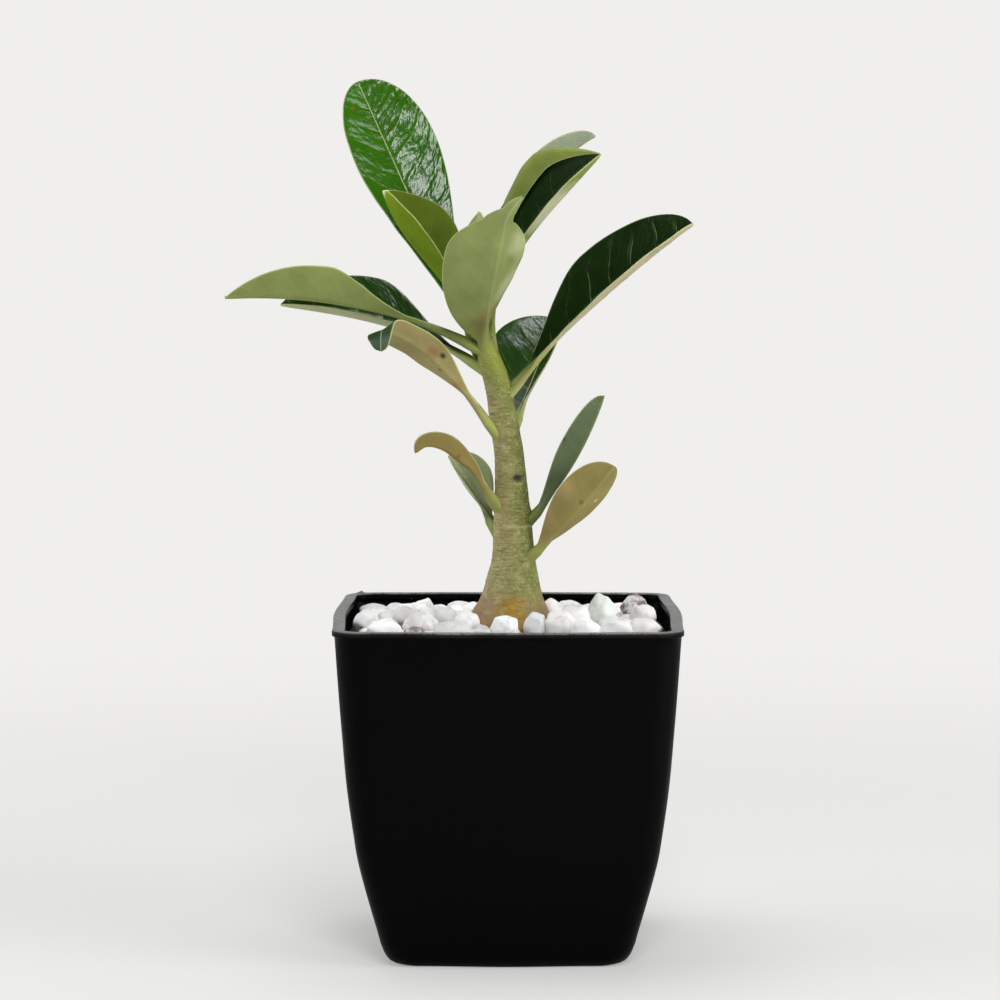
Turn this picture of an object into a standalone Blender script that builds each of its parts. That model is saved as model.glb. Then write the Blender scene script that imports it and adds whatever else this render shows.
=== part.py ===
"""Potted desert rose adenium: a square nursery pot with potting mix, white stone chips,
one swollen-footed stem and fifteen leaves. Sizes below are in millimetres, +Z is up and
the origin is the middle of the pot's flat underside. The leaves point mostly to -X and +X."""

import math
import random

import bmesh
import bpy
import numpy as np

MM = 0.001

# Pot
POT_HEIGHT = 103.5
POT_HALF = 52.2  # half the width over the lip, measured beside a corner
POT_CORNER = 9.0
POT_BULGE = 1.3  # how far each side stands out at its middle
LIP_WIDTH = 3.7
LIP_DEPTH = 1.8
WALL = 1.6
FLOOR = 2.2

# Filling
SOIL_TOP = 95.0
FIT_GAP = 0.5
BED_TOP = 99.0
STONE_SEED = 7

# Stem
STEM_FOOT = 84.0
STEM_TOP = 191.5
SEAT_GAP = 0.45

# Leaf blades
BLADE = 0.7
STALK_HALF = 1.2
LEAF_ROWS = 13


def clear_scene():
    for old in list(bpy.data.objects):
        bpy.data.objects.remove(old)


def plain_material(name, colour, roughness):
    material = bpy.data.materials.new(name)
    material.use_nodes = True
    shader = material.node_tree.nodes["Principled BSDF"]
    shader.inputs["Base Color"].default_value = (*colour, 1.0)
    shader.inputs["Roughness"].default_value = roughness
    shader.inputs["Metallic"].default_value = 0.0
    return material


def add_node(name, points, faces, material):
    """One closed solid from points in millimetres, with its faces turned outwards."""
    mesh = bpy.data.meshes.new(name)
    mesh.from_pydata([tuple(float(v) * MM for v in p) for p in points], [], faces)
    shape = bmesh.new()
    shape.from_mesh(mesh)
    bmesh.ops.recalc_face_normals(shape, faces=shape.faces)
    shape.to_mesh(mesh)
    shape.free()
    mesh.shade_smooth()
    mesh.set_sharp_from_angle(angle=math.radians(35))
    mesh.materials.append(material)
    node = bpy.data.objects.new(name, mesh)
    bpy.context.scene.collection.objects.link(node)
    return node


def loft(rings, closed=False):
    """Faces that join equal rings of points in turn, with flat caps unless it is closed."""
    count = len(rings[0])
    points = [p for ring in rings for p in ring]
    faces = []
    last = len(rings) if closed else len(rings) - 1
    for i in range(last):
        a, b = i * count, (i + 1) % len(rings) * count
        for j in range(count):
            k = (j + 1) % count
            faces.append((a + j, a + k, b + k, b + j))
    if not closed:
        faces.append(tuple(reversed(range(count))))
        faces.append(tuple((len(rings) - 1) * count + j for j in range(count)))
    return points, faces


def apply_boolean(node, operation, helpers):
    """Cuts or joins a node with a collection of helper solids, which are then removed."""
    group = bpy.data.collections.new("helpers")
    for helper in helpers:
        group.objects.link(helper)
    modifier = node.modifiers.new("boolean", "BOOLEAN")
    modifier.operand_type = "COLLECTION"
    modifier.collection = group
    modifier.operation = operation
    modifier.solver = "EXACT"
    graph = bpy.context.evaluated_depsgraph_get()
    result = bpy.data.meshes.new_from_object(node.evaluated_get(graph))
    node.modifiers.clear()
    node.data = result
    for helper in helpers:
        bpy.data.objects.remove(helper)
    bpy.data.collections.remove(group)


# The pot: one shell with curved, tapering walls, a folded-out flat lip and a rounded foot.


def square_ring(half, corner, z, bulge=POT_BULGE, side_steps=6, corner_steps=4):
    """A square with round corners and sides that stand out slightly at their middles."""
    points = []
    straight = half - corner
    for quarter in range(4):
        side = []
        for i in range(side_steps + 1):
            t = -1 + 2 * i / side_steps
            side.append((half + bulge * math.cos(math.pi * t / 2) ** 2, t * straight))
        for i in range(1, corner_steps):
            a = math.pi / 2 * i / corner_steps
            side.append((straight + corner * math.cos(a), straight + corner * math.sin(a)))
        turn = math.pi / 2 * quarter
        c, s = math.cos(turn), math.sin(turn)
        points += [(x * c - y * s, x * s + y * c, z) for x, y in side]
    return points


# Half-width of the outer wall beside a corner, at heights from the foot up to the lip.
WALL_SHAPE = (
    (0.0, 33.4),
    (0.7, 35.0),
    (2.2, 36.5),
    (4.6, 37.7),
    (11.0, 39.5),
    (18.5, 41.5),
    (26.0, 43.4),
    (34.0, 45.2),
    (41.5, 46.3),
    (56.5, 48.2),
    (71.0, 49.4),
    (86.0, 50.5),
    (POT_HEIGHT - LIP_DEPTH, 51.5),
)


def wall_half(z):
    heights = [h for h, _ in WALL_SHAPE]
    return float(np.interp(z, heights, [w for _, w in WALL_SHAPE]))


def corner_at(z):
    return POT_CORNER * (0.75 + 0.25 * z / POT_HEIGHT)


def add_pot():
    lip_in = POT_HALF - LIP_WIDTH
    top, under = POT_HEIGHT, POT_HEIGHT - LIP_DEPTH
    rings = [square_ring(half, corner_at(z), z) for z, half in WALL_SHAPE]
    rings.append(square_ring(POT_HALF, POT_CORNER, under))
    rings.append(square_ring(POT_HALF, POT_CORNER, top - 0.3))
    rings.append(square_ring(POT_HALF - 0.3, POT_CORNER - 0.3, top))
    rings.append(square_ring(lip_in + 0.3, POT_CORNER - LIP_WIDTH + 0.3, top))
    rings.append(square_ring(lip_in, POT_CORNER - LIP_WIDTH, top - 0.3))
    rings.append(square_ring(lip_in, POT_CORNER - LIP_WIDTH, under))
    for z in (under - 0.6, 86.0, 71.0, 56.5, 41.5, 26.0, 11.0, 5.0, 3.0, FLOOR):
        half = wall_half(z) - WALL - max(0.0, 5.0 - z) * 0.5
        rings.append(square_ring(half, corner_at(z) - WALL, z))
    plastic = plain_material("black_pot_plastic", (0.006, 0.006, 0.006), 0.42)
    add_node("pot", *loft(rings), plastic)


# The stem: a leaning centre line with a radius that swells into a root flare, and a small
# cushion under each leaf. Below the stones it is a plain stump in a hole in the soil.

STEM_LINE = (
    (84.0, 0.6, 8.6),
    (95.0, 0.6, 10.6),
    (97.0, 0.7, 12.6),
    (100.0, 0.7, 13.0),
    (104.0, 0.8, 11.5),
    (107.0, 1.1, 9.9),
    (111.0, 1.4, 8.6),
    (119.0, 1.8, 6.9),
    (129.0, 1.6, 6.0),
    (137.0, 1.4, 5.3),
    (145.0, 1.0, 4.9),
    (153.0, 0.3, 4.6),
    (161.0, -0.9, 4.3),
    (170.0, -2.4, 4.1),
    (178.0, -4.2, 3.9),
    (183.0, -5.8, 3.3),
    (188.0, -7.6, 2.6),
    (191.5, -9.2, 1.3),
)


def stem_centre(z):
    heights = [row[0] for row in STEM_LINE]
    return float(np.interp(z, heights, [row[1] for row in STEM_LINE]))


def stem_radius(z, around):
    """Radius at a height and an angle in degrees, with flare ridges and leaf cushions."""
    heights = [row[0] for row in STEM_LINE]
    radius = float(np.interp(z, heights, [row[2] for row in STEM_LINE]))
    flare = max(0.0, 1 - abs(z - 100.0) / 14.0)
    radius *= 1 + 0.05 * flare * math.cos(math.radians(4 * around + 20))
    for leaf in LEAVES:
        high, angle = leaf["foot"]
        apart = (around - angle + 180) % 360 - 180
        over = ((z - high + 0.8) / 2.2) ** 2 + (math.radians(apart) * radius / 2.0) ** 2
        if over < 9:
            radius += leaf.get("cushion", 0.7) * math.exp(-over)
    return radius


def stem_ring(z, grow=0.0, sides=20):
    ring = []
    for i in range(sides):
        a = 360 * i / sides
        r = stem_radius(z, a) + grow
        x = stem_centre(z) + r * math.cos(math.radians(a))
        ring.append((x, r * math.sin(math.radians(a)), z))
    return ring


def add_stem():
    heights = [STEM_FOOT, 90.0, 95.0, 97.0, 99.0, 101.5, 104.0, 107.0, 110.0, 113.0]
    heights += [116.0 + 2.6 * i for i in range(29)] + [STEM_TOP]
    bark = plain_material("adenium_bark", (0.20, 0.22, 0.09), 0.75)
    add_node("stem", *loft([stem_ring(z) for z in heights]), bark)


# Soil with a blind hole for the stump, and the stone chips heaped over it as one body.


def round_ring(radius, like, z, centre_x):
    """A circle with its points at the same angles as those of another ring."""
    ring = []
    for x, y, _ in like:
        a = math.atan2(y, x)
        ring.append((centre_x + radius * math.cos(a), radius * math.sin(a), z))
    return ring


def fill_ring(z, gap):
    half = wall_half(z) - WALL - gap - max(0.0, 5.0 - z) * 0.5
    return square_ring(half, corner_at(z) - WALL - gap, z)


def add_soil():
    hole = 12.0
    heights = (FLOOR + FIT_GAP, 5.0, 11.0, 26.0, 41.5, 56.5, 71.0, 86.0, SOIL_TOP)
    rings = [fill_ring(z, FIT_GAP) for z in heights]
    rings.append(round_ring(hole, rings[-1], SOIL_TOP, 0.6))
    rings.append(round_ring(hole, rings[-1], STEM_FOOT - FIT_GAP, 0.6))
    mix = plain_material("potting_mix", (0.035, 0.025, 0.018), 0.95)
    add_node("soil", *loft(rings), mix)


# The stones that can be told apart: x, y, height of the top and width, in millimetres.
CHOSEN_STONES = (
    (-43, -12, 106.0, 10),
    (-37, 5, 103.7, 9),
    (-32, 4, 105.0, 9),
    (-26, 5, 107.5, 10),
    (-26, -20, 106.3, 11),
    (-19, -5, 105.8, 9),
    (-13, -15, 106.0, 9),
    (-1, -36, 107.0, 10),
    (8, -31, 107.5, 9),
    (16, -31, 108.0, 12),
    (21, -12, 107.5, 13),
    (14, 13, 106.5, 8),
    (29, -5, 110.5, 10),
    (23, -41, 107.5, 10),
    (32, -37, 107.0, 12),
    (40, 12, 108.0, 10),
    (42, 0, 106.0, 10),
    (41, -31, 105.5, 12),
    (-37, -34, 106.0, 12),
    (-28, -42, 104.5, 9),
    (-16, -39, 105.8, 14),
)


def stone_places():
    """The chosen stones, then smaller ones on a jittered grid wherever there is room."""
    dice = random.Random(STONE_SEED)
    places = list(CHOSEN_STONES)
    step = 10.5
    for row in range(-4, 5):
        for column in range(-5, 6):
            x = (column + 0.5 * (row % 2)) * step + dice.uniform(-2, 2)
            y = row * step * 0.9 + dice.uniform(-2, 2)
            top = 101.3 + dice.uniform(-1.0, 1.6)
            width = dice.uniform(9.5, 13.0)
            edge = wall_half(BED_TOP) - WALL - width / 2 - 0.8
            if max(abs(x), abs(y)) > edge or math.hypot(x - 1, y) < 13 + width / 2:
                continue
            near = min(math.hypot(x - p[0], y - p[1]) - p[3] / 2 for p in places)
            if near > 0.18 * width:
                places.append((x, y, top, width))
    return places


def stone_points(dice, x, y, top, width):
    """Corner points of one broken stone: a squashed ball with a few flat facets."""
    low = BED_TOP - 1.6
    high = (top - low) / 2
    points = []
    for i in range(15):
        z = 1 - 2 * (i + 0.5) / 15
        a = i * 2.4 + dice.uniform(-0.35, 0.35)
        r = math.sqrt(1 - z * z)
        out = dice.uniform(0.86, 1.08)
        points.append((out * r * math.cos(a), out * r * math.sin(a), out * z))
    peak = max(p[2] for p in points)
    stretch = dice.uniform(0.9, 1.15)
    turn = dice.uniform(0, math.pi)
    placed = []
    for px, py, pz in points:
        u, v = px * width / 2 * stretch, py * width / 2 / stretch
        placed.append(
            (
                x + u * math.cos(turn) - v * math.sin(turn),
                y + u * math.sin(turn) + v * math.cos(turn),
                top - high + pz / peak * high,
            )
        )
    return placed


def add_stones():
    hole = 14.2
    outer = fill_ring(SOIL_TOP + FIT_GAP, FIT_GAP + 0.3)
    bed = [
        outer,
        fill_ring(BED_TOP, FIT_GAP + 0.3),
        round_ring(hole, outer, BED_TOP, 0.7),
        round_ring(hole, outer, SOIL_TOP + FIT_GAP, 0.7),
    ]
    marble = plain_material("white_stone_chips", (0.72, 0.72, 0.70), 0.6)
    node = add_node("stones", *loft(bed, closed=True), marble)
    dice = random.Random(STONE_SEED + 1)
    helpers = []
    for number, place in enumerate(stone_places()):
        shape = bmesh.new()
        for point in stone_points(dice, *place):
            shape.verts.new([v * MM for v in point])
        hull = bmesh.ops.convex_hull(shape, input=shape.verts)
        inner = [g for g in hull["geom_interior"] if isinstance(g, bmesh.types.BMVert)]
        bmesh.ops.delete(shape, geom=inner, context="VERTS")
        bmesh.ops.recalc_face_normals(shape, faces=shape.faces)
        mesh = bpy.data.meshes.new(f"stone_{number}")
        shape.to_mesh(mesh)
        shape.free()
        helpers.append(bpy.data.objects.new(f"stone_{number}", mesh))
    apply_boolean(node, "UNION", helpers)
    heights = (90.0, 97.0, 99.0, 101.5, 104.0, 107.0, 110.0, 113.0, 119.0)
    points, faces = loft([stem_ring(z, grow=0.6) for z in heights])
    cutter = add_node("stem_clearance", points, faces, marble)
    apply_boolean(node, "DIFFERENCE", [cutter])


# The leaves. Each is one grown piece: stalk, midrib and a blade whose halves fold up from
# the midrib. A leaf row holds where it leaves the stem (height, degrees round it), its tip,
# how its midrib bows off the straight line, its width, the share of the length where it is
# widest, the fold of its left and right halves in degrees and the way its face looks.

LEAVES = (
    dict(
        name="leaf_back_upright",
        foot=(181.0, 118),
        tip=(-47, 30, 267),
        bow=(1, 6, -3),
        face=(0.3, -0.85, 0.4),
        width=28,
        widest=0.77,
        neck=2.05,
        blunt=2.2,
        sides=(0.97, 1.12),
        fold=(12, 18),
    ),
    dict(
        name="leaf_young_fold",
        foot=(186.5, 138),
        tip=(-38, 6, 233),
        bow=(0.6, 0, 0.7),
        bow_late=-5.0,
        spring=1.5,
        face=(0.74, -0.48, 0.47),
        width=29.5,
        widest=0.66,
        neck=1.6,
        fold=(56, 56),
        point=0.6,
    ),
    dict(
        name="leaf_front",
        foot=(187.5, 262),
        tip=(0, -30, 229),
        bow=(-0.4, -6, -2),
        hook=(4.2, 2, 2),
        hook_from=0.88,
        face=(-0.52, 0.86, 0.0),
        width=32,
        widest=0.6,
        neck=0.9,
        blunt=3.0,
        point=2.0,
        knob=0.14,
        sides=(0.88, 1.0),
        stalk=1.4,
        fold=(26, 31),
    ),
    dict(
        name="leaf_bud",
        foot=(191.3, 256),
        tip=(-8.6, -3, 226.5),
        bow=(-2.0, -2.6, 0),
        spring=1.6,
        face=(0.3, 0.9, 0.2),
        width=13,
        widest=0.68,
        neck=2.2,
        fold=(40, 40),
        point=0.8,
        stalk=0.65,
        cushion=0.2,
    ),
    dict(
        name="leaf_upper_right",
        foot=(188.0, 75),
        tip=(28, -6, 244),
        bow=(-6.3, 2.4, 1.3),
        bow_late=-0.4,
        spring=4.5,
        face=(-0.6, -0.75, 0.3),
        width=32,
        widest=0.8,
        neck=1.9,
        blunt=1.6,
        point=0.9,
        sides=(1.45, 0.5),
        fold=(30, 65),
        curl=(190, 10),
        curl_at=(0.55, 0.85),
        columns=7,
    ),
    dict(
        name="leaf_upper_right_back",
        foot=(182.5, 85),
        tip=(21, 16, 252.5),
        bow=(-6.0, 6, 0.5),
        bow_late=-0.5,
        spring=4.5,
        hook=(6, 0, -2.5),
        hook_from=0.75,
        face=(-0.8, -0.45, 0.45),
        roll=(10, -45),
        width=30,
        widest=0.6,
        neck=1.2,
        sides=(0.75, 0.76),
        fold=(45, 48),
    ),
    dict(
        name="leaf_right",
        foot=(174.0, 345),
        tip=(56, -10, 223),
        bow=(-1, -2, 2),
        face=(-0.58, -0.54, 0.61),
        roll=(0, -3),
        width=29,
        widest=0.56,
        neck=1.8,
        fold=(40, 40),
    ),
    dict(
        name="leaf_right_back",
        foot=(163.0, 50),
        tip=(15, 28, 193),
        bow=(0, 2, -2),
        face=(-0.56, -0.81, 0.18),
        width=32,
        widest=0.66,
        neck=1.4,
        sides=(1.05, 0.85),
        fold=(36, 42),
    ),
    dict(
        name="leaf_left",
        foot=(186.4, 203),
        tip=(-85, -20, 201),
        bow=(0, -2, 4.8),
        face=(0.16, 0.17, 0.97),
        width=28,
        widest=0.62,
        neck=3.8,
        blunt=2.2,
        point=1.0,
        stalk=1.5,
        fold=(45, 45),
    ),
    dict(
        name="leaf_left_back",
        foot=(180.5, 165),
        tip=(-70, 8, 198),
        bow=(0, 1, 3.4),
        bow_late=-0.3,
        face=(0.1, -0.55, 0.83),
        width=27,
        widest=0.55,
        neck=2.3,
        point=0.8,
        sides=(0.62, 1),
        fold=(50, 50),
    ),
    dict(
        name="leaf_curled_left",
        foot=(162.0, 215),
        route=(
            (-11.5, -7, 170),
            (-16.5, -10, 176),
            (-21.5, -11.5, 181.5),
            (-27, -13, 186),
            (-31.5, -15.5, 188.7),
            (-35, -19, 190.7),
            (-37.3, -23, 191.3),
            (-37.8, -25.5, 189),
            (-37.8, -26.3, 185.2),
        ),
        face=(0.3, 0.8, 0.5),
        width=12.2,
        widest=0.55,
        neck=2.6,
        blunt=4.5,
        point=0.45,
        sides=(1, 1),
        fold=(8, 8),
        rows=24,
    ),
    dict(
        name="leaf_small_left",
        foot=(139.0, 205),
        route=(
            (-10.9, -6.5, 147.6),
            (-13.7, -8, 150.2),
            (-19.3, -11, 154.6),
            (-24.5, -13, 156),
            (-28.2, -14, 154),
        ),
        face=(0.1, 0.35, 0.93),
        width=10,
        widest=0.72,
        neck=1.6,
        blunt=2.0,
        fold=(50, 35),
        rows=16,
    ),
    dict(
        name="leaf_low_left_back",
        foot=(131.0, 150),
        tip=(-18, 5, 151.5),
        bow=(0, 1, 0),
        face=(0.6, -0.71, 0.37),
        width=20,
        widest=0.62,
        neck=1.4,
        sides=(1, 0.85),
        fold=(45, 45),
    ),
    dict(
        name="leaf_low_right_narrow",
        foot=(134.5, 350),
        tip=(29, -12, 171),
        bow=(1.5, -1, -2),
        face=(-0.7, 0.6, 0.4),
        width=13,
        widest=0.6,
        neck=1.3,
        sides=(0.55, 1),
        stalk=0.9,
        fold=(45, 45),
    ),
    dict(
        name="leaf_low_right_broad",
        foot=(123.0, 330),
        tip=(32, -15, 150),
        bow=(0.5, -1, -1),
        face=(-0.36, 0.87, 0.35),
        width=15,
        widest=0.62,
        neck=1.2,
        blunt=2.2,
        sides=(1.15, 1.2),
        fold=(32, 32),
    ),
)


def unit(vector):
    return vector / np.linalg.norm(vector, axis=-1, keepdims=True)


def smooth_route(corners, share):
    """Points on a smooth curve through the corners, at shares of its length."""
    corners = np.array(corners, float)
    ends = np.vstack((2 * corners[0] - corners[1], corners, 2 * corners[-1] - corners[-2]))
    curve = []
    for i in range(len(corners) - 1):
        a, b, c, d = ends[i : i + 4]
        for t in np.linspace(0, 1, 12, endpoint=False):
            bend = (2 * a - 5 * b + 4 * c - d) * t**2 + (3 * b - a - 3 * c + d) * t**3
            curve.append(b + ((c - a) * t + bend) / 2)
    curve = np.array(curve + [corners[-1]])
    along = np.concatenate(([0], np.cumsum(np.linalg.norm(np.diff(curve, axis=0), axis=1))))
    share = np.asarray(share) * along[-1]
    return np.stack([np.interp(share, along, curve[:, i]) for i in range(3)], axis=1)


def midrib(leaf, share):
    """Points of the midrib from the stalk's foot to the tip."""
    high, angle = leaf["foot"]
    out = np.array((math.cos(math.radians(angle)), math.sin(math.radians(angle)), 0))
    foot = np.array((stem_centre(high), 0, high)) + out * seat_distance(leaf)
    if "route" in leaf:
        return smooth_route([foot, *leaf["route"]], share)
    tip = np.array(leaf["tip"], float)
    late = leaf.get("bow_late", 0.0)
    bend = 4 * share * (1 - share) * (1 - late * (1 - 2 * share))
    start = leaf.get("hook_from", 0.8)
    hook = np.clip((share - start) / (1 - start), 0, 1) ** 2
    line = foot + np.outer(share, tip - foot) + np.outer(bend, leaf["bow"])
    line += np.outer(leaf.get("spring", 0.0) * share / (share + 0.05) * (1 - share), out)
    return line + np.outer(hook, leaf.get("hook", (0, 0, 0)))


def seat_distance(leaf):
    """How far from the stem's centre line the stalk's end face stands."""
    high, angle = leaf["foot"]
    patch = [(dz, da) for dz in (-3, -2, -1, 0, 1, 2) for da in (-20, -10, 0, 10, 20)]
    reach = [
        stem_radius(high + dz, angle + da)
        + (stem_centre(high + dz) - stem_centre(high)) * math.cos(math.radians(angle))
        for dz, da in patch
    ]
    return max(reach) + SEAT_GAP


def leaf_frames(leaf, share):
    """Midrib points with the way along, the way to the left and the way the face looks."""
    points = midrib(leaf, share)
    step = 1e-3
    ahead = midrib(leaf, np.minimum(share + step, 1.0))
    behind = midrib(leaf, np.maximum(share - step, 0.0))
    along = unit(ahead - behind)
    face = np.array(leaf["face"], float)
    if "route" in leaf:
        looks = [face]
        for way in along:
            carried = looks[-1] - (looks[-1] @ way) * way
            looks.append(carried / np.linalg.norm(carried))
        face = np.array(looks[1:])
    else:
        face = unit(face - (along @ face)[:, None] * along)
    left = np.cross(face, along)
    start, end = leaf.get("roll", (0, 0))
    roll = np.radians(start + (end - start) * share)[:, None]
    turned = np.cos(roll) * left + np.sin(roll) * face
    return points, along, turned, np.cos(roll) * face - np.sin(roll) * left


def half_width(leaf, share):
    widest = leaf["widest"]
    below = 1 - (1 - np.clip(share / widest, 0, 1) ** leaf.get("neck", 1.5)) ** 2
    past = np.clip((share - widest) / (1 - widest), 0, 1) ** leaf.get("blunt", 2.0)
    above = np.clip(1 - past, 0, 1) ** leaf.get("point", 0.5)
    # A knob is a small round end that stands out past the taper.
    above = np.maximum(above, leaf.get("knob", 0.0) * np.clip((1 - share) / 0.04, 0, 1) ** 0.5)
    return leaf["width"] / 2 * np.where(share < widest, below, above)


def blade_grid(leaf, rows, columns):
    """Middle surface of the blade: rows from foot to tip, columns from left to right."""
    even = np.linspace(0, 1, rows + 1)
    share = 0.35 * even + 0.65 * (1 - (1 - even) ** 1.8)
    if "route" in leaf:
        share = even
    points, _, left, face = leaf_frames(leaf, share)
    stalk = leaf.get("stalk", STALK_HALF) * (1 - 0.6 * share)
    grid = np.zeros((rows + 1, 2 * columns + 1, 3))
    grid[:, columns] = points
    sides = leaf.get("sides", (1, 1))
    curls = leaf.get("curl", (0, 0))
    # The curl begins and is complete at these shares of the way from rib to edge.
    starts, ends = leaf.get("curl_at", (0.0, 1.0))
    for side, fold, curl, wide in zip((1, -1), leaf["fold"], curls, sides):
        width = np.maximum(half_width(leaf, share) * wide, stalk)
        near = np.minimum(1.2, 0.45 * width)
        steps = np.concatenate(([0.0], np.linspace(0, 1, columns)))
        place = points.copy()
        reach = np.zeros(rows + 1)
        for j in range(1, columns + 1):
            now = near + (width - near) * steps[j]
            middle = (reach + now) / 2 / width
            turned = np.clip((middle - starts) / (ends - starts), 0, 1)
            angle = np.radians(fold + curl * turned)[:, None]
            way = np.cos(angle) * side * left + np.sin(angle) * face
            place = place + (now - reach)[:, None] * way
            reach = now
            grid[:, columns - side * j] = place
    return grid, share


def leaf_solid(leaf):
    """Upper and lower skins of one leaf, split into the same triangles, with a closed rim."""
    rows, columns = leaf.get("rows", LEAF_ROWS), leaf.get("columns", 3)
    grid, share = blade_grid(leaf, rows, columns)
    across = np.gradient(grid, axis=1)
    along = np.gradient(grid, axis=0)
    normal = unit(np.cross(along, across) * -1.0)
    thick = np.full(grid.shape[:2], BLADE)
    rib = 0.3 + 1.3 * np.clip(1 - share / 0.25, 0, 1) + 0.4 * (1 - share)
    thick[:, columns] += rib
    near_rib = 0.9 * np.clip(1 - share / 0.12, 0, 1)
    thick[:, columns - 1] += near_rib
    thick[:, columns + 1] += near_rib
    upper = grid + normal * BLADE / 2
    lower = grid - normal * (thick - BLADE / 2)[:, :, None]
    high, angle = leaf["foot"]
    out = np.array((math.cos(math.radians(angle)), math.sin(math.radians(angle)), 0))
    way = unit(grid[1, columns] - grid[0, columns])
    centre = np.array((stem_centre(high), 0, high))
    seat = seat_distance(leaf)
    for skin in (upper, lower):
        short = seat - (skin[0] - centre) @ out
        skin[0] += np.outer(short / (way @ out), way)
    count = 2 * columns + 1
    points = np.concatenate((upper.reshape(-1, 3), lower.reshape(-1, 3)))
    under = (rows + 1) * count
    faces = []
    for i in range(rows):
        for j in range(count - 1):
            a, b = i * count + j, i * count + j + 1
            c, d = b + count, a + count
            split = ((a, b, c), (a, c, d)) if j < columns else ((a, b, d), (b, c, d))
            for face in split:
                faces.append(face)
                faces.append(tuple(under + v for v in reversed(face)))
        for j in (0, count - 1):
            a, d = i * count + j, (i + 1) * count + j
            faces.append((a, d, under + d, under + a))
    for i in (0, rows):
        for j in range(count - 1):
            a, b = i * count + j, i * count + j + 1
            faces.append((a, b, under + b, under + a))
    return points, faces


def add_leaves():
    green = plain_material("adenium_leaf", (0.04, 0.11, 0.02), 0.4)
    young = plain_material("young_adenium_leaf", (0.16, 0.24, 0.03), 0.4)
    for leaf in LEAVES:
        fresh = leaf["name"] in ("leaf_young_fold", "leaf_bud")
        add_node(leaf["name"], *leaf_solid(leaf), young if fresh else green)


clear_scene()
add_pot()
add_soil()
add_stones()
add_stem()
add_leaves()
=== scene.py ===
"""A young desert rose in a square nursery pot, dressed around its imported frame.

Sizes are in millimetres unless a line says otherwise. +Z is up, -Y is the front, and the
origin is the middle of the pot's underside."""

import math
import random

import bmesh
import bpy
import numpy as np
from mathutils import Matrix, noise


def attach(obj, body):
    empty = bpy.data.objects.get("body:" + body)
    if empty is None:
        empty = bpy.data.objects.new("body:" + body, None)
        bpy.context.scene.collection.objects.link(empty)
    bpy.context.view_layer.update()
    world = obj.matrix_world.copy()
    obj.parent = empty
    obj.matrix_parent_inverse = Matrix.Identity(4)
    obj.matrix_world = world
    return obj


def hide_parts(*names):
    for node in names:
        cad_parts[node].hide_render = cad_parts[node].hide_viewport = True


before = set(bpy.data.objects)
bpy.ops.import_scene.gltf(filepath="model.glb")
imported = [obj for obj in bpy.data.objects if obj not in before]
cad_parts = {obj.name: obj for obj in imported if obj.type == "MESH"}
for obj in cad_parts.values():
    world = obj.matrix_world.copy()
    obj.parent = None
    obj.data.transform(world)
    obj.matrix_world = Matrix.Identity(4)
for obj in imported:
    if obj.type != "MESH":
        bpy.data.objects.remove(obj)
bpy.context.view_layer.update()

# --- Studio -------------------------------------------------------------------------------
# A pale sweep under soft light: a broad lamp high in front, others at both sides and above,
# and a bright surround low behind the plant, with a dark room above it and in front.

MM = 0.001


def linear(colour):
    """An sRGB hex value such as "#2b5d10" as linear red, green, blue and alpha."""
    parts = [int(colour[i : i + 2], 16) / 255 for i in (1, 3, 5)]
    return (*(c / 12.92 if c <= 0.04045 else ((c + 0.055) / 1.055) ** 2.4 for c in parts), 1.0)


def add(tree, kind, inputs=(), **settings):
    """Adds a shader node with its settings, fills inputs with values or links them, and
    returns its outputs."""
    node = tree.nodes.new("ShaderNode" + kind)
    for name, value in settings.items():
        setattr(node, name, value)
    for socket, value in dict(inputs).items():
        if isinstance(value, bpy.types.NodeSocket):
            tree.links.new(value, node.inputs[socket])
        else:
            node.inputs[socket].default_value = value
    return node.outputs


def new_material(name):
    """An empty material: its tree and its output's surface socket."""
    material = bpy.data.materials.new(name)
    material.use_nodes = True
    material.node_tree.nodes.clear()
    output = material.node_tree.nodes.new("ShaderNodeOutputMaterial")
    return material, material.node_tree, output.inputs["Surface"]


scene = bpy.context.scene
scene.view_settings.view_transform = "Standard"

CAMERA_PLACE = (-2.38, -1050.0, 232.4)
CAMERA_TILT = 5.128  # degrees down from level
LENS, SENSOR = 123.3, 36.0
FARTHEST_SEEN = 50.0  # metres

camera_data = bpy.data.cameras.new("camera")
camera_data.lens = LENS
camera_data.sensor_width = SENSOR
camera_data.clip_end = FARTHEST_SEEN
camera = bpy.data.objects.new("camera", camera_data)
camera.location = [value * MM for value in CAMERA_PLACE]
camera.rotation_euler = (math.radians(90 - CAMERA_TILT), 0, 0)
scene.collection.objects.link(camera)
scene.camera = camera

BACKDROP = "#f0efed"
GLOW, ROOM = 0.95, 0.04  # strength of the bright surround, and of the dark room

world = bpy.data.worlds.new("studio")
scene.world = world
world.use_nodes = True
tree = world.node_tree
tree.nodes.clear()
way = add(tree, "SeparateXYZ", {0: add(tree, "TexCoord")["Generated"]})
behind = {0: way["Y"], 1: -0.75, 2: 0.15}
behind = add(tree, "MapRange", behind, interpolation_type="SMOOTHSTEP")[0]
low = {0: way["Z"], 1: 0.45, 2: 0.1, 3: 0.1, 4: 1.0}
low = add(tree, "MapRange", low, interpolation_type="SMOOTHSTEP")[0]
glow = add(tree, "Math", {0: behind, 1: low}, operation="MULTIPLY")[0]
glow = add(tree, "Math", {0: glow, 1: GLOW, 2: ROOM}, operation="MULTIPLY_ADD")[0]
surround = add(tree, "Background", {"Color": (1.0, 1.0, 1.0, 1.0), "Strength": glow})[0]
plain = add(tree, "Background", {"Color": linear(BACKDROP), "Strength": 1.0})[0]
seen = add(tree, "LightPath")["Is Camera Ray"]
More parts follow.
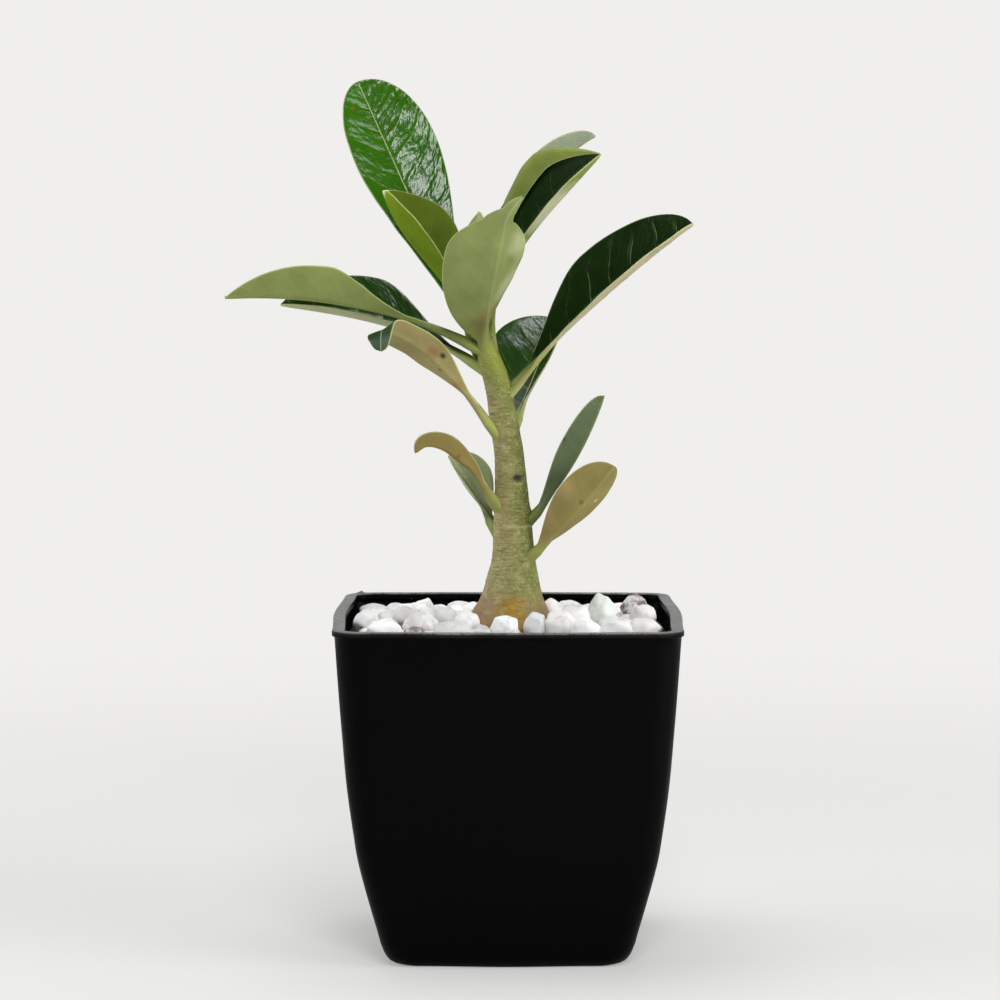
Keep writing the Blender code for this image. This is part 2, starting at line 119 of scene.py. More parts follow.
mixed = add(tree, "MixShader", {0: seen, 1: surround, 2: plain})[0]
add(tree, "OutputWorld", {"Surface": mixed})

LAMPS = (  # name, place and size in metres, power in watts
    ("lamp_front", (0.12, -1.05, 0.9), 0.45, 9.0),
    ("lamp_right", (0.95, -0.45, 0.35), 0.8, 10.0),
    ("lamp_left", (-1.0, -0.05, 0.45), 0.8, 5.0),
    ("lamp_top", (-0.1, 0.25, 1.3), 1.0, 9.0),
)
LAMP_AIM = 0.15  # metres: the height of the plant's middle, which every lamp points at
for name, place, size, power in LAMPS:
    lamp = bpy.data.lights.new(name, "AREA")
    lamp.shape = "DISK"
    lamp.size = size
    lamp.energy = power
    holder = bpy.data.objects.new(name, lamp)
    holder.location = place
    x, y, z = place
    away = math.atan2(math.hypot(x, y), z - LAMP_AIM)
    holder.rotation_euler = (away, 0, math.atan2(y, x) + math.pi / 2)
    holder.visible_camera = False
    scene.collection.objects.link(holder)

SWEEP = "#d5d5d3"
SWEEP_RADIUS = 8.0  # metres, as the three below it
SWEEP_MIDDLE = (0.0, 0.25, 0.0)  # back from the most shaded spot, in front of the pot
SWEEP_NEAR, SWEEP_FAR = 0.2, 1.0  # from that spot, where the floor starts and ends fading
SWEEP_HAZE = 0.36  # share of the backdrop's colour in the floor before it fades

# Matt paint that fades into the backdrop with distance, so no horizon shows.
material, tree, surface = new_material("painted_sweep")
spot = add(tree, "SeparateXYZ", {0: add(tree, "TexCoord")["Object"]})
reach = add(tree, "CombineXYZ", {0: spot["X"], 1: spot["Y"]})[0]
reach = add(tree, "VectorMath", {0: reach, 1: SWEEP_MIDDLE}, operation="ADD")[0]
reach = add(tree, "VectorMath", {0: reach}, operation="LENGTH")["Value"]
fade = {0: reach, 1: SWEEP_NEAR, 2: SWEEP_FAR, 3: SWEEP_HAZE, 4: 1.0}
fade = add(tree, "MapRange", fade, interpolation_type="SMOOTHERSTEP")[0]
seen = add(tree, "LightPath")["Is Camera Ray"]
fade = add(tree, "Math", {0: fade, 1: seen}, operation="MULTIPLY")[0]
paint = add(tree, "BsdfDiffuse", {"Color": linear(SWEEP)})[0]
haze = add(tree, "Emission", {"Color": linear(BACKDROP)})[0]
tree.links.new(add(tree, "MixShader", {0: fade, 1: paint, 2: haze})[0], surface)
bpy.ops.mesh.primitive_circle_add(vertices=96, radius=SWEEP_RADIUS, fill_type="NGON")
sweep = bpy.context.object
sweep.name = "sweep"
sweep.data.materials.append(material)

# --- Pot ----------------------------------------------------------------------------------
# One injection-moulded polypropylene shell: a rounded square with sides that bow out a
# little, a flat folded-out lip scuffed across by handling and greyed with painted sheen,
# and a small foot that stands flat.

POT_HEIGHT = 103.5
LIP_HALF = 52.2  # half the width over the lip, beside a corner
LIP_CORNER = 9.0  # radius of a corner at the lip, in plan
LIP_WIDTH = 3.7
LIP_DEPTH = 1.8
BULGE = 1.3  # how far the middle of a side stands out
WALL = 1.6
FLOOR = 2.2
BURR = (-47.3, 49.8)  # x and y of a small burr on the back left corner of the lip
WALL_SHAPE = (  # height and half-width of the outer wall beside a corner
    (0.0, 33.4), (0.7, 35.0), (2.2, 36.5), (4.6, 37.7), (11.0, 39.5), (18.5, 41.5),
    (26.0, 43.4), (34.0, 45.2), (41.5, 46.3), (56.5, 48.2), (71.0, 49.4), (86.0, 50.5),
    (POT_HEIGHT - LIP_DEPTH, 51.5),
)


def smooth_table(rows, place):
    """Values between the rows of a table, on a smooth curve through them."""
    rows = np.array(rows, float)
    slopes = np.gradient(rows[:, 1], rows[:, 0])
    i = int(np.clip(np.searchsorted(rows[:, 0], place) - 1, 0, len(rows) - 2))
    span = rows[i + 1, 0] - rows[i, 0]
    t = np.clip((place - rows[i, 0]) / span, 0, 1)
    near = (1 + 2 * t) * (1 - t) ** 2 * rows[i, 1] + t * (1 - t) ** 2 * span * slopes[i]
    far = t * t * (3 - 2 * t) * rows[i + 1, 1] + t * t * (t - 1) * span * slopes[i + 1]
    return float(near + far)


def wall_half(z):
    """Half the outer width of the wall at a height."""
    return float(np.interp(z, [row[0] for row in WALL_SHAPE], [row[1] for row in WALL_SHAPE]))


def corner_at(z):
    """Radius of the wall's corners at a height. They tighten towards the foot."""
    return LIP_CORNER * (0.75 + 0.25 * z / POT_HEIGHT)


def square_ring(half, corner, z, side_steps, corner_steps):
    """A square with round corners and sides that stand out slightly at their middles."""
    points = []
    straight = half - corner
    for quarter in range(4):
        side = []
        for i in range(side_steps + 1):
            t = -1 + 2 * i / side_steps
            side.append((half + BULGE * math.cos(math.pi * t / 2) ** 2, t * straight))
        for i in range(1, corner_steps):
            a = math.pi / 2 * i / corner_steps
            side.append((straight + corner * math.cos(a), straight + corner * math.sin(a)))
        c, s = math.cos(math.pi / 2 * quarter), math.sin(math.pi / 2 * quarter)
        points += [(x * c - y * s, x * s + y * c, z) for x, y in side]
    return points


SHARP = 50  # degrees: edges that turn more than this stay sharp


def add_piece(name, points, faces, materials, node=None, layout=None, values=()):
    """A mesh object from points in millimetres. It rides on the root body, and can replace a
    frame node. layout is a place on the pattern for each point, values are named numbers."""
    mesh = bpy.data.meshes.new(name)
    mesh.from_pydata((np.asarray(points, float) * MM).tolist(), [], faces)
    shape = bmesh.new()
    shape.from_mesh(mesh)
    bmesh.ops.recalc_face_normals(shape, faces=shape.faces)
    shape.to_mesh(mesh)
    shape.free()
    mesh.shade_smooth()
    mesh.set_sharp_from_angle(angle=math.radians(SHARP))
    corners = np.empty(len(mesh.loops), np.int32)
    mesh.loops.foreach_get("vertex_index", corners)
    if layout is not None:
        places = mesh.uv_layers.new(name="pattern")
        places.data.foreach_set("uv", np.asarray(layout, np.float32)[corners].ravel())
    for label, numbers in dict(values).items():
        if np.ndim(numbers) == 2:
            store = mesh.attributes.new(label, "FLOAT_COLOR", "POINT")
            store.data.foreach_set("color", np.asarray(numbers, np.float32).ravel())
        else:
            store = mesh.attributes.new(label, "FLOAT", "POINT")
            store.data.foreach_set("value", np.asarray(numbers, np.float32))
    for material in materials:
        mesh.materials.append(material)
    piece = bpy.data.objects.new(name, mesh)
    scene.collection.objects.link(piece)
    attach(piece, "root")
    if node:
        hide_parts(node)
    return piece


def ring_faces(rings, sides):
    """Quads that join rings of points in turn, with flat caps on the first and last."""
    faces = []
    for i in range(rings - 1):
        for j in range(sides):
            a, b = i * sides + j, i * sides + (j + 1) % sides
            faces.append((a, b, b + sides, a + sides))
    faces.append(tuple(reversed(range(sides))))
    faces.append(tuple((rings - 1) * sides + j for j in range(sides)))
    return faces


def pitch(size):
    """Scale of a pattern whose features lie about this many millimetres apart."""
    return 1 / (size * MM)


# Black polypropylene: satin from the mould, with a faint orange-peel, and greyer all over the
# lip, partly pale scuffs from rough handling and partly painted sheen, with dark nicks across
# it, and dust inside.
POLYPROPYLENE, SCUFF_AND_SHEEN_GREY, DUST = "#050505", "#8e8e8a", "#b9b8b4"
PEEL, SMEARS = 1.11, 16.7  # the peel is drawn coarser than the real one, so that it shows
SPECKS, SPECK_PATCHES = 2.38, 5.88  # between specks of dust, and between dusty places
NICKS = (420.0, 9.0, 1.0)  # how many lie round the lip, 1 mm apart, and across the section


def moulded_plastic(name, shine):
    """The pot's plastic: shine is its specular level, low on the walls that stay black."""
    material, tree, surface = new_material(name)
    spot = add(tree, "TexCoord")
    place = add(tree, "SeparateXYZ", {0: spot["UV"]})  # x: way round the lip, y: way across it
    lip = add(tree, "Attribute", attribute_name="lip")["Fac"]
    across = add(tree, "CombineXYZ", {0: place["X"], 1: place["Y"]})[0]
    across = add(tree, "VectorMath", {0: across, 1: NICKS}, operation="MULTIPLY")[0]
    nicks = {"Vector": across, "Scale": 1.0, "Detail": 4.0, "Roughness": 0.7}
    nicks = add(tree, "TexNoise", nicks)[0]
    cuts = add(tree, "MapRange", {0: nicks, 1: 0.52, 2: 0.6})[0]
    cuts = add(tree, "Math", {0: cuts, 1: lip}, operation="MULTIPLY")[0]
    point = spot["Object"]
    peel = add(tree, "TexNoise", {"Vector": point, "Scale": pitch(PEEL), "Detail": 2.0})[0]
    smears = add(tree, "TexNoise", {"Vector": point, "Scale": pitch(SMEARS), "Detail": 5.0})[0]
    # grey over the whole lip, a quarter of it at least: partly scuffs, partly painted sheen
    scuffs_and_sheen = add(tree, "MapRange", {0: smears, 1: 0.4, 2: 0.75, 3: 0.25, 4: 0.8})[0]
    scuffs_and_sheen = add(tree, "Math", {0: scuffs_and_sheen, 1: lip}, operation="MULTIPLY")[0]
    specks = add(tree, "TexVoronoi", {"Vector": point, "Scale": pitch(SPECKS)})["Distance"]
    specks = add(tree, "MapRange", {0: specks, 1: 0.11, 2: 0.07})[0]
    rare = add(tree, "TexNoise", {"Vector": point, "Scale": pitch(SPECK_PATCHES)})[0]
    rare = add(tree, "MapRange", {0: rare, 1: 0.62, 2: 0.68})[0]
    inside = add(tree, "Attribute", attribute_name="inside")["Fac"]
    rare = add(tree, "Math", {0: rare, 1: inside}, operation="MULTIPLY")[0]
    dust = add(tree, "Math", {0: specks, 1: rare}, operation="MULTIPLY")[0]
    base = linear(POLYPROPYLENE)
    for share, colour in ((scuffs_and_sheen, SCUFF_AND_SHEEN_GREY), (cuts, POLYPROPYLENE), (dust, DUST)):
        base = add(tree, "Mix", {0: share, 6: base, 7: linear(colour)}, data_type="RGBA")[2]
    rough = add(tree, "MapRange", {0: smears, 1: 0.3, 2: 0.7, 3: 0.3, 4: 0.42})[0]
    deep = add(tree, "Math", {0: cuts, 1: -1.0, 2: 1.0}, operation="MULTIPLY_ADD")[0]
    bump = add(tree, "Bump", {"Height": peel, "Strength": 0.12, "Distance": 0.1 * MM})[0]
    bump = {"Height": deep, "Strength": 0.5, "Distance": 0.2 * MM, "Normal": bump}
    bump = add(tree, "Bump", bump)[0]
    look = {"Base Color": base, "Roughness": rough, "Specular IOR Level": shine, "Normal": bump}
    tree.links.new(add(tree, "BsdfPrincipled", look)[0], surface)
    return material


wall_plastic = moulded_plastic("black_polypropylene", 0.03)
lip_plastic = moulded_plastic("scuffed_and_sheen_polypropylene", 0.6)

# The shell's section runs from its underside up the outside, over the lip and down the
# inside, as half-width, height, share of lip scuffs, and 1 where it is inside the pot.
under, top, inner = POT_HEIGHT - LIP_DEPTH, POT_HEIGHT, LIP_HALF - LIP_WIDTH
profile = [(wall_half(0) - 1.5, 0.35, 0, 0), (wall_half(0) - 0.9, 0.0, 0, 0)]
profile += [(smooth_table(WALL_SHAPE, z), z, 0, 0) for z in (0.0, 0.3, 0.7, 1.4, 2.2, 3.2, 4.6)]
profile += [(smooth_table(WALL_SHAPE, z), z, 0, 0) for z in np.linspace(7, under - 0.2, 40)]
profile += [(51.6, under, 0, 0), (LIP_HALF - 0.15, under + 0.05, 0, 0)]
profile += [(LIP_HALF, under + 0.25, 0, 0), (LIP_HALF, top - 0.35, 0.1, 0)]
profile += [(LIP_HALF - 0.1, top - 0.1, 1, 0), (LIP_HALF - 0.4, top, 1, 0)]
profile += [(LIP_HALF - 0.4 - 0.97 * i, top - 0.06 * (i % 2), 1, 0) for i in range(1, 3)]
profile += [(inner + 0.35, top, 1, 0), (inner + 0.08, top - 0.12, 0.8, 0)]
profile += [(inner, top - 0.4, 0, 1), (inner, under, 0, 1)]
profile += [(wall_half(z) - WALL, z, 0, 1) for z in (under - 0.8, 97, 90, 70, 45, 20, 8, 5)]
profile += [(wall_half(3) - WALL - 1, 3, 0, 1), (wall_half(FLOOR) - WALL - 1.4, FLOOR, 0, 1)]
SIDE_STEPS, CORNER_STEPS = 30, 12
points, lips, insides, layout = [], [], [], []
for number, (half, z, lip_share, is_inside) in enumerate(profile):
    corner = corner_at(z) - (LIP_HALF - half if z > under - 1 else 0)
    corner -= WALL * (is_inside and z < under)
    ring = square_ring(half, corner, z, SIDE_STEPS, CORNER_STEPS)
    for j, (x, y, height) in enumerate(ring):  # the lip wanders a little and is chipped
        wander = noise.noise((x * 0.09, y * 0.09, 4.0)) * 0.12 if z > under - 1 else 0.0
        chip = max(0.0, noise.noise((x * 0.55, y * 0.55, 9.0)) - 0.42) * 1.3 * lip_share
        from_burr = ((x - BURR[0]) / 0.9) ** 2 + ((y - BURR[1]) / 1.3) ** 2
        burr = 0.9 * lip_share * math.exp(-from_burr)
        height = height + wander * lip_share - chip * 0.4 + burr
        points.append((x * (1 - 0.0016 * chip), y, height))
        lips.append(lip_share)
        insides.append(is_inside)
        layout.append((j / len(ring), number / len(profile)))
shell = add_piece(
    "pot_shell", points, ring_faces(len(profile), len(ring)), [wall_plastic, lip_plastic], "pot",
    layout, {"lip": lips, "inside": insides},
)
for polygon in shell.data.polygons:  # the scuffed plastic is the flat of the lip alone
    polygon.material_index = int(min(lips[v] for v in polygon.vertices) > 0.5)

# --- Potting mix --------------------------------------------------------------------------
# Peat and bark fines that fill the pot. The frame's own solid stays as the body of it, and
# a rough crumbly top lies over that, seen only in the gaps between the stones.

SOIL_TOP = 95.0
SOIL_HALF = 48.3  # half the width of the crumbly top
CRUMB_LAYER = 1.6  # its mean thickness
CRUMB, GRAIN = 1.43, 2.86  # size of a crumb, and of a patch of one colour
PEAT, BARK_FINES = "#15100c", "#463426"

# Damp peat with bark fines: near-black crumbs flecked with brown, and without any shine.
material, tree, surface = new_material("peat_and_bark_fines")
spot = add(tree, "TexCoord")["Object"]
crumbs = add(tree, "TexVoronoi", {"Vector": spot, "Scale": pitch(CRUMB)})["Distance"]
grains = add(tree, "TexNoise", {"Vector": spot, "Scale": pitch(GRAIN), "Detail": 6.0})[0]
base = {0: grains, 6: linear(PEAT), 7: linear(BARK_FINES)}
base = add(tree, "Mix", base, data_type="RGBA")[2]
bump = add(tree, "Bump", {"Height": crumbs, "Strength": 0.9, "Distance": 0.8 * MM})[0]
shader = add(tree, "BsdfPrincipled", {"Base Color": base, "Roughness": 0.95, "Normal": bump})
tree.links.new(shader[0], surface)
for holder in bpy.data.objects["soil"].material_slots:
    holder.material = material

steps = 72
rows = steps + 1
points = []
for i in range(rows):
    for j in range(rows):
        u, v = 2 * i / steps - 1, 2 * j / steps - 1
        x, y = SOIL_HALF * u * (1 - 0.06 * v * v), SOIL_HALF * v * (1 - 0.06 * u * u)
        rise = 0.9 * noise.noise((x * 0.16, y * 0.16, 1.0)) + 0.5 * noise.noise((x, y, 2.0))
        points.append((x, y, SOIL_TOP + CRUMB_LAYER + rise))
corners = [i * rows + j for i in range(steps) for j in range(steps)]
faces = [(a, a + 1, a + rows + 1, a + rows) for a in corners]
count = len(points)
points += [(x, y, SOIL_TOP) for x, y, _ in points]
faces += [tuple(count + v for v in reversed(face)) for face in faces]
edge = [i * rows for i in range(rows)] + [steps * rows + j for j in range(1, rows)]
edge += [i * rows + steps for i in reversed(range(steps))] + list(range(steps - 1, 0, -1))
faces += [(a, b, count + b, count + a) for a, b in zip(edge, edge[1:] + edge[:1])]
add_piece("soil_crumbs", points, faces, [material])

# --- Stone chips --------------------------------------------------------------------------
# Broken white marble heaped loosely over the mix: rounded-off angular chips with flat faces,
# a few of them greenish and clearer, mottled brown-grey, or stained purple-brown.

BED_TOP = 99.0
STONE_SEED = 7
STONE_STEP = 10.5  # between the middles of the scattered stones
STONE_LEVEL = 101.3  # mean height of their tops
STEM_ROOM = 13.0  # radius kept free round the stem's foot
STONE_CORNERS = 15
CHIP_STEP_X, CHIP_STEP_Y = 7.4, 7.2  # between the smaller chips that fill the gaps
CHIP_REACH = 43.5  # how far out they lie
CHOSEN_STONES = (  # x, y, height of the top, width
    (-43, -12, 106.0, 10), (-37, 5, 103.7, 9), (-32, 4, 105.0, 9), (-26, 5, 107.5, 10),
    (-26, -20, 106.3, 11), (-19, -5, 105.8, 9), (-13, -15, 106.0, 9), (-1, -36, 107.0, 10),
    (8, -31, 107.5, 9), (16, -31, 108.0, 12), (21, -12, 107.5, 13), (14, 13, 106.5, 8),
    (29, -5, 110.5, 10), (23, -41, 107.5, 10), (32, -37, 107.0, 12), (40, 12, 108.0, 10),
    (42, 0, 106.0, 10), (41, -31, 105.5, 12), (-37, -34, 106.0, 12), (-28, -42, 104.5, 9),
    (-16, -39, 105.8, 14),
)
CLEAR_STONE, MOTTLED_STONE = 12, 15  # rows of the table
STAINED_STONES = {19: 0.9, 4: 0.25}


def stone_places():
    """The chosen stones, then smaller ones on a jittered grid wherever there is room."""
    dice = random.Random(STONE_SEED)
    places = list(CHOSEN_STONES)
    for row in range(-4, 5):
        for column in range(-5, 6):
            x = (column + 0.5 * (row % 2)) * STONE_STEP + dice.uniform(-2, 2)
            y = row * STONE_STEP * 0.9 + dice.uniform(-2, 2)
            top = STONE_LEVEL + dice.uniform(-1.0, 1.6)
            width = dice.uniform(9.5, 13.0)
            edge = wall_half(BED_TOP) - WALL - width / 2 - 0.8
            if max(abs(x), abs(y)) > edge or math.hypot(x - 1, y) < STEM_ROOM + width / 2:
                continue
            near = min(math.hypot(x - p[0], y - p[1]) - p[3] / 2 for p in places)
            if near > 0.18 * width:
                places.append((x, y, top, width))
    return places


def stone_points(dice, x, y, top, width):
    """Corner points of one broken stone: a squashed ball with a few flat facets."""
    low = BED_TOP - 1.6
    high = (top - low) / 2
    points = []
    for i in range(STONE_CORNERS):
        z = 1 - 2 * (i + 0.5) / STONE_CORNERS
        a = i * 2.4 + dice.uniform(-0.35, 0.35)  # each corner about a golden turn on
        r = math.sqrt(1 - z * z)
        out = dice.uniform(0.86, 1.08)
        points.append((out * r * math.cos(a), out * r * math.sin(a), out * z))
    peak = max(p[2] for p in points)
    stretch = dice.uniform(0.9, 1.15)
    turn = dice.uniform(0, math.pi)
    cos, sin = math.cos(turn), math.sin(turn)
    placed = []
    for px, py, pz in points:
        u, v = px * width / 2 * stretch, py * width / 2 / stretch
        height = top - high + pz / peak * high
        placed.append((x + u * cos - v * sin, y + u * sin + v * cos, height))
    return placed


def ball(detail):
    """Directions and triangles of an evenly divided ball."""
    shape = bmesh.new()
    bmesh.ops.create_icosphere(shape, subdivisions=detail, radius=1.0)
    ways = np.array([v.co for v in shape.verts])
    faces = np.array([[v.index for v in f.verts] for f in shape.faces])
    shape.free()
    return ways, faces


SOFTNESS = 22  # the lower, the rounder a stone's edges


def broken_stone(corners, ways, seed):
    """A stone's surface along the given ways from its middle: the flat faces of the hull of
    its corners, worn round at their edges and pitted a little."""
    shape = bmesh.new()
    for corner in corners:
        shape.verts.new(corner)
    bmesh.ops.convex_hull(shape, input=shape.verts)
    bmesh.ops.recalc_face_normals(shape, faces=shape.faces)
    shape.normal_update()
    middle = np.mean([v.co for v in shape.verts], axis=0)
    flats = [(np.array(f.normal), (np.array(f.verts[0].co) - middle)) for f in shape.faces]
    shape.free()
    pull = np.zeros(len(ways))
    for normal, point in flats:
        pull += np.maximum(ways @ normal / max(normal @ point, 0.3), 0) ** SOFTNESS
    reach = pull ** (-1 / SOFTNESS)
    start = np.array((seed, 0, 0))
    spots = (way * out * 0.45 + start for way, out in zip(ways, reach))
    rough = [noise.fractal(spot, 0.9, 2.1, 4) for spot in spots]
    return middle + ways * (reach * (1 + 0.05 * np.array(rough)))[:, None]


# Marble: white and slightly clear, so light sinks in, with faint grey veins, brown-grey
# clouds in the mottled ones, and a fine sugary break that keeps it matt.
VEIN_GREY, MOTTLE_BROWN = "#a3a09d", "#6d5a58"
MARBLE_VEIN, MARBLE_CLOUD, MARBLE_PIT = 5.26, 3.03, 2.38
SUGAR = 0.667  # the crystals, drawn a little coarser than real ones

material, tree, surface = new_material("broken_white_marble")
spot = add(tree, "TexCoord")["Object"]
tint = add(tree, "Attribute", attribute_name="tint")["Color"]
mottle = add(tree, "Attribute", attribute_name="mottle")["Fac"]
veins = {"Vector": spot, "Scale": pitch(MARBLE_VEIN), "Detail": 6.0, "Distortion": 1.2}
veins = add(tree, "TexNoise", veins)[0]
veins = add(tree, "MapRange", {0: veins, 1: 0.54, 2: 0.7, 3: 0.0, 4: 0.5})[0]
base = add(tree, "Mix", {0: veins, 6: tint, 7: linear(VEIN_GREY)}, data_type="RGBA")[2]
clouds = {"Vector": spot, "Scale": pitch(MARBLE_CLOUD), "Detail": 5.0, "Roughness": 0.65}
clouds = add(tree, "TexNoise", clouds)[0]
clouds = add(tree, "MapRange", {0: clouds, 1: 0.42, 2: 0.56})[0]
clouds = add(tree, "Math", {0: clouds, 1: mottle}, operation="MULTIPLY")[0]
base = add(tree, "Mix", {0: clouds, 6: base, 7: linear(MOTTLE_BROWN)}, data_type="RGBA")[2]
sugar = add(tree, "TexNoise", {"Vector": spot, "Scale": pitch(SUGAR), "Detail": 4.0})[0]
dents = add(tree, "TexNoise", {"Vector": spot, "Scale": pitch(MARBLE_PIT), "Detail": 5.0})[0]
bump = add(tree, "Bump", {"Height": dents, "Strength": 0.5, "Distance": 0.6 * MM})[0]
bump = {"Height": sugar, "Strength": 0.3, "Distance": 0.2 * MM, "Normal": bump}
bump = add(tree, "Bump", bump)[0]
shader = add(
    tree,
    "BsdfPrincipled",
    {
        "Base Color": base, "Roughness": 0.62, "Normal": bump, "Subsurface Weight": 0.25,
        "Subsurface Scale": 1.5 * MM, "Subsurface Radius": (1.0, 0.9, 0.8),
    },
)
tree.links.new(shader[0], surface)

CLEAR_GREEN = (0.66, 0.71, 0.66, 1.0)  # linear, as the stones' other tints

dice = random.Random(STONE_SEED + 1)
shades = random.Random(STONE_SEED + 2)
filler = random.Random(STONE_SEED + 3)
round_stone, round_chip = ball(4), ball(3)
stones = [(place, dice, round_stone) for place in stone_places()]
for row in range(-6, 7):
    for column in range(-6, 7):
        x = column * CHIP_STEP_X + filler.uniform(-2, 2)
        y = row * CHIP_STEP_Y + filler.uniform(-2, 2)
        if max(abs(x), abs(y)) < CHIP_REACH and math.hypot(x - 1, y) > STEM_ROOM + 1.5:
            place = (x, y, 101.4 + filler.uniform(-0.8, 0.8), filler.uniform(7.0, 9.5))
            stones.append((place, filler, round_chip))
points, faces, tints, mottles = [], [], [], []
for number, (place, draws, (ways, triangles)) in enumerate(stones):
    surface_points = broken_stone(stone_points(draws, *place), ways, number * 3.1)
    faces += (triangles + sum(len(p) for p in points)).tolist()
    points.append(surface_points)
    light = shades.uniform(0.6, 0.88)
    warm = shades.uniform(-0.012, 0.02)
    colour = (light + warm, light, light - warm * 0.6, 1.0)
    if number == CLEAR_STONE:
        colour = CLEAR_GREEN
    stain = 1.0 if number == MOTTLED_STONE else STAINED_STONES.get(number, 0.0)
    tints.append(np.tile(colour, (len(surface_points), 1)))
    mottles.append(np.full(len(surface_points), stain))
add_piece(
    "marble_chips", np.concatenate(points), faces, [material], "stones",
    None, {"tint": np.concatenate(tints), "mottle": np.concatenate(mottles)},
)

# --- Stem ---------------------------------------------------------------------------------
# One living stem: grey-green bark with fine wrinkles round it, swollen into brown root
# shoulders at the foot, with a small cushion under each leaf and one old leaf scar.

STEM_LINE = (  # height, x of the centre, radius
    (84.0, 0.6, 8.6), (95.0, 0.6, 10.6), (97.0, 0.7, 12.6), (100.0, 0.7, 13.0),
    (104.0, 0.8, 11.5), (107.0, 1.1, 9.9), (111.0, 1.4, 8.6), (119.0, 1.8, 6.9),
    (129.0, 1.6, 6.0), (137.0, 1.4, 5.3), (145.0, 1.0, 4.9), (153.0, 0.3, 4.6),
    (161.0, -0.9, 4.3), (170.0, -2.4, 4.1), (178.0, -4.2, 3.9), (183.0, -5.8, 3.3),
    (188.0, -7.6, 2.6), (191.5, -9.2, 1.3),
)
LEAF_FEET = {  # height and degrees round the stem, from +X towards +Y
    "leaf_back_upright": (181.0, 118),
    "leaf_young_fold": (186.5, 138),
    "leaf_front": (187.5, 262),
    "leaf_bud": (191.3, 256),
    "leaf_upper_right": (188.0, 75),
    "leaf_upper_right_back": (182.5, 85),
    "leaf_right": (174.0, 345),
    "leaf_right_back": (163.0, 50),
    "leaf_left": (186.4, 203),
    "leaf_left_back": (180.5, 165),
    "leaf_curled_left": (162.0, 215),
    "leaf_small_left": (139.0, 205),
    "leaf_low_left_back": (131.0, 150),
    "leaf_low_right_narrow": (134.5, 350),
    "leaf_low_right_broad": (123.0, 330),
}
SMALL_CUSHION = {"leaf_bud": 0.2}


def stem_centre(z):
    """How far along x the leaning stem's centre lies at a height."""
    return float(np.interp(z, [row[0] for row in STEM_LINE], [row[1] for row in STEM_LINE]))


def turn_from(start, around):
    """Degrees from one way round the stem to another, from -180 to 180."""
    return (around - start + 180) % 360 - 180


def stem_radius(z, around):
    """Radius at a height and an angle in degrees, with flare ridges and leaf cushions."""
    radius = float(np.interp(z, [row[0] for row in STEM_LINE], [row[2] for row in STEM_LINE]))
    flare = max(0.0, 1 - abs(z - 100.0) / 14.0)
    radius *= 1 + 0.05 * flare * math.cos(math.radians(4 * around + 20))
    for leaf, (high, angle) in LEAF_FEET.items():
        aside = math.radians(turn_from(angle, around)) * radius
        over = ((z - high + 0.8) / 2.2) ** 2 + (aside / 2.0) ** 2
        if over < 9:
            radius += SMALL_CUSHION.get(leaf, 0.7) * math.exp(-over)
    return radius


# Living bark: thin grey cork in fine wrinkles round it over green, yellower at the young
# top, brown and flaking on the root shoulders, and golden where the cork has split in front.
# The green shows more towards the right side (+X), and that darker right side is painted shade.
GREY_CORK, BARK_GREEN, CORK_SPECK, WRINKLE_DARK = "#a49c66", "#5e6612", "#c4be98", "#3f451c"
SHOOT_GREEN, OLD_SCAR = "#929c3a", "#34210f"
FLAKE_BROWN, FLAKE_TAN = "#5a3e28", "#b0946a"
SPLIT_BROWN, SPLIT_GOLD = "#4a3208", "#b58f22"
WRINKLE_LENGTH, WRINKLE_STEP = 3.33, 0.667
BARK_PATCH, CORK_GRAIN = 3.85, 0.769  # the grain is drawn coarser than the real one

material, tree, surface = new_material("living_adenium_bark")
spot = add(tree, "TexCoord")["Object"]
shares = {
    label: add(tree, "Attribute", attribute_name=label)["Fac"]
    for label in ("green", "young", "brown", "scar", "pit")
}
flat = (pitch(WRINKLE_LENGTH), pitch(WRINKLE_LENGTH), pitch(WRINKLE_STEP))
flat = add(tree, "VectorMath", {0: spot, 1: flat}, operation="MULTIPLY")[0]
wrinkle = {"Vector": flat, "Scale": 1.0, "Detail": 5.0, "Roughness": 0.6}
wrinkle = add(tree, "TexNoise", wrinkle)[0]
patches = {"Vector": spot, "Scale": pitch(BARK_PATCH), "Detail": 6.0, "Roughness": 0.7}
patches = add(tree, "TexNoise", patches)[0]
fine = add(tree, "TexNoise", {"Vector": spot, "Scale": pitch(CORK_GRAIN), "Detail": 3.0})[0]
ragged = add(tree, "Math", {0: patches, 1: -0.5}, operation="ADD")[0]
for label, strength in (("green", 2.2), ("brown", 4.5), ("scar", 4.0)):  # patchy edges
    mask = {0: ragged, 1: strength, 2: shares[label]}
    shares[label] = add(tree, "Math", mask, operation="MULTIPLY_ADD", use_clamp=True)[0]
flakes = {0: patches, 6: linear(FLAKE_BROWN), 7: linear(FLAKE_TAN)}
flakes = add(tree, "Mix", flakes, data_type="RGBA")[2]
split = {0: wrinkle, 6: linear(SPLIT_BROWN), 7: linear(SPLIT_GOLD)}
split = add(tree, "Mix", split, data_type="RGBA")[2]
pale = add(tree, "MapRange", {0: fine, 1: 0.57, 2: 0.68, 3: 0.0, 4: 0.4})[0]
dark = add(tree, "MapRange", {0: wrinkle, 1: 0.5, 2: 0.3, 3: 0.0, 4: 0.75})[0]
base = linear(GREY_CORK)
for share, colour in (
    (shares["green"], linear(BARK_GREEN)), (pale, linear(CORK_SPECK)),
    (dark, linear(WRINKLE_DARK)), (shares["young"], linear(SHOOT_GREEN)),
    (shares["brown"], flakes), (shares["scar"], split), (shares["pit"], linear(OLD_SCAR)),
):
    base = add(tree, "Mix", {0: share, 6: base, 7: colour}, data_type="RGBA")[2]
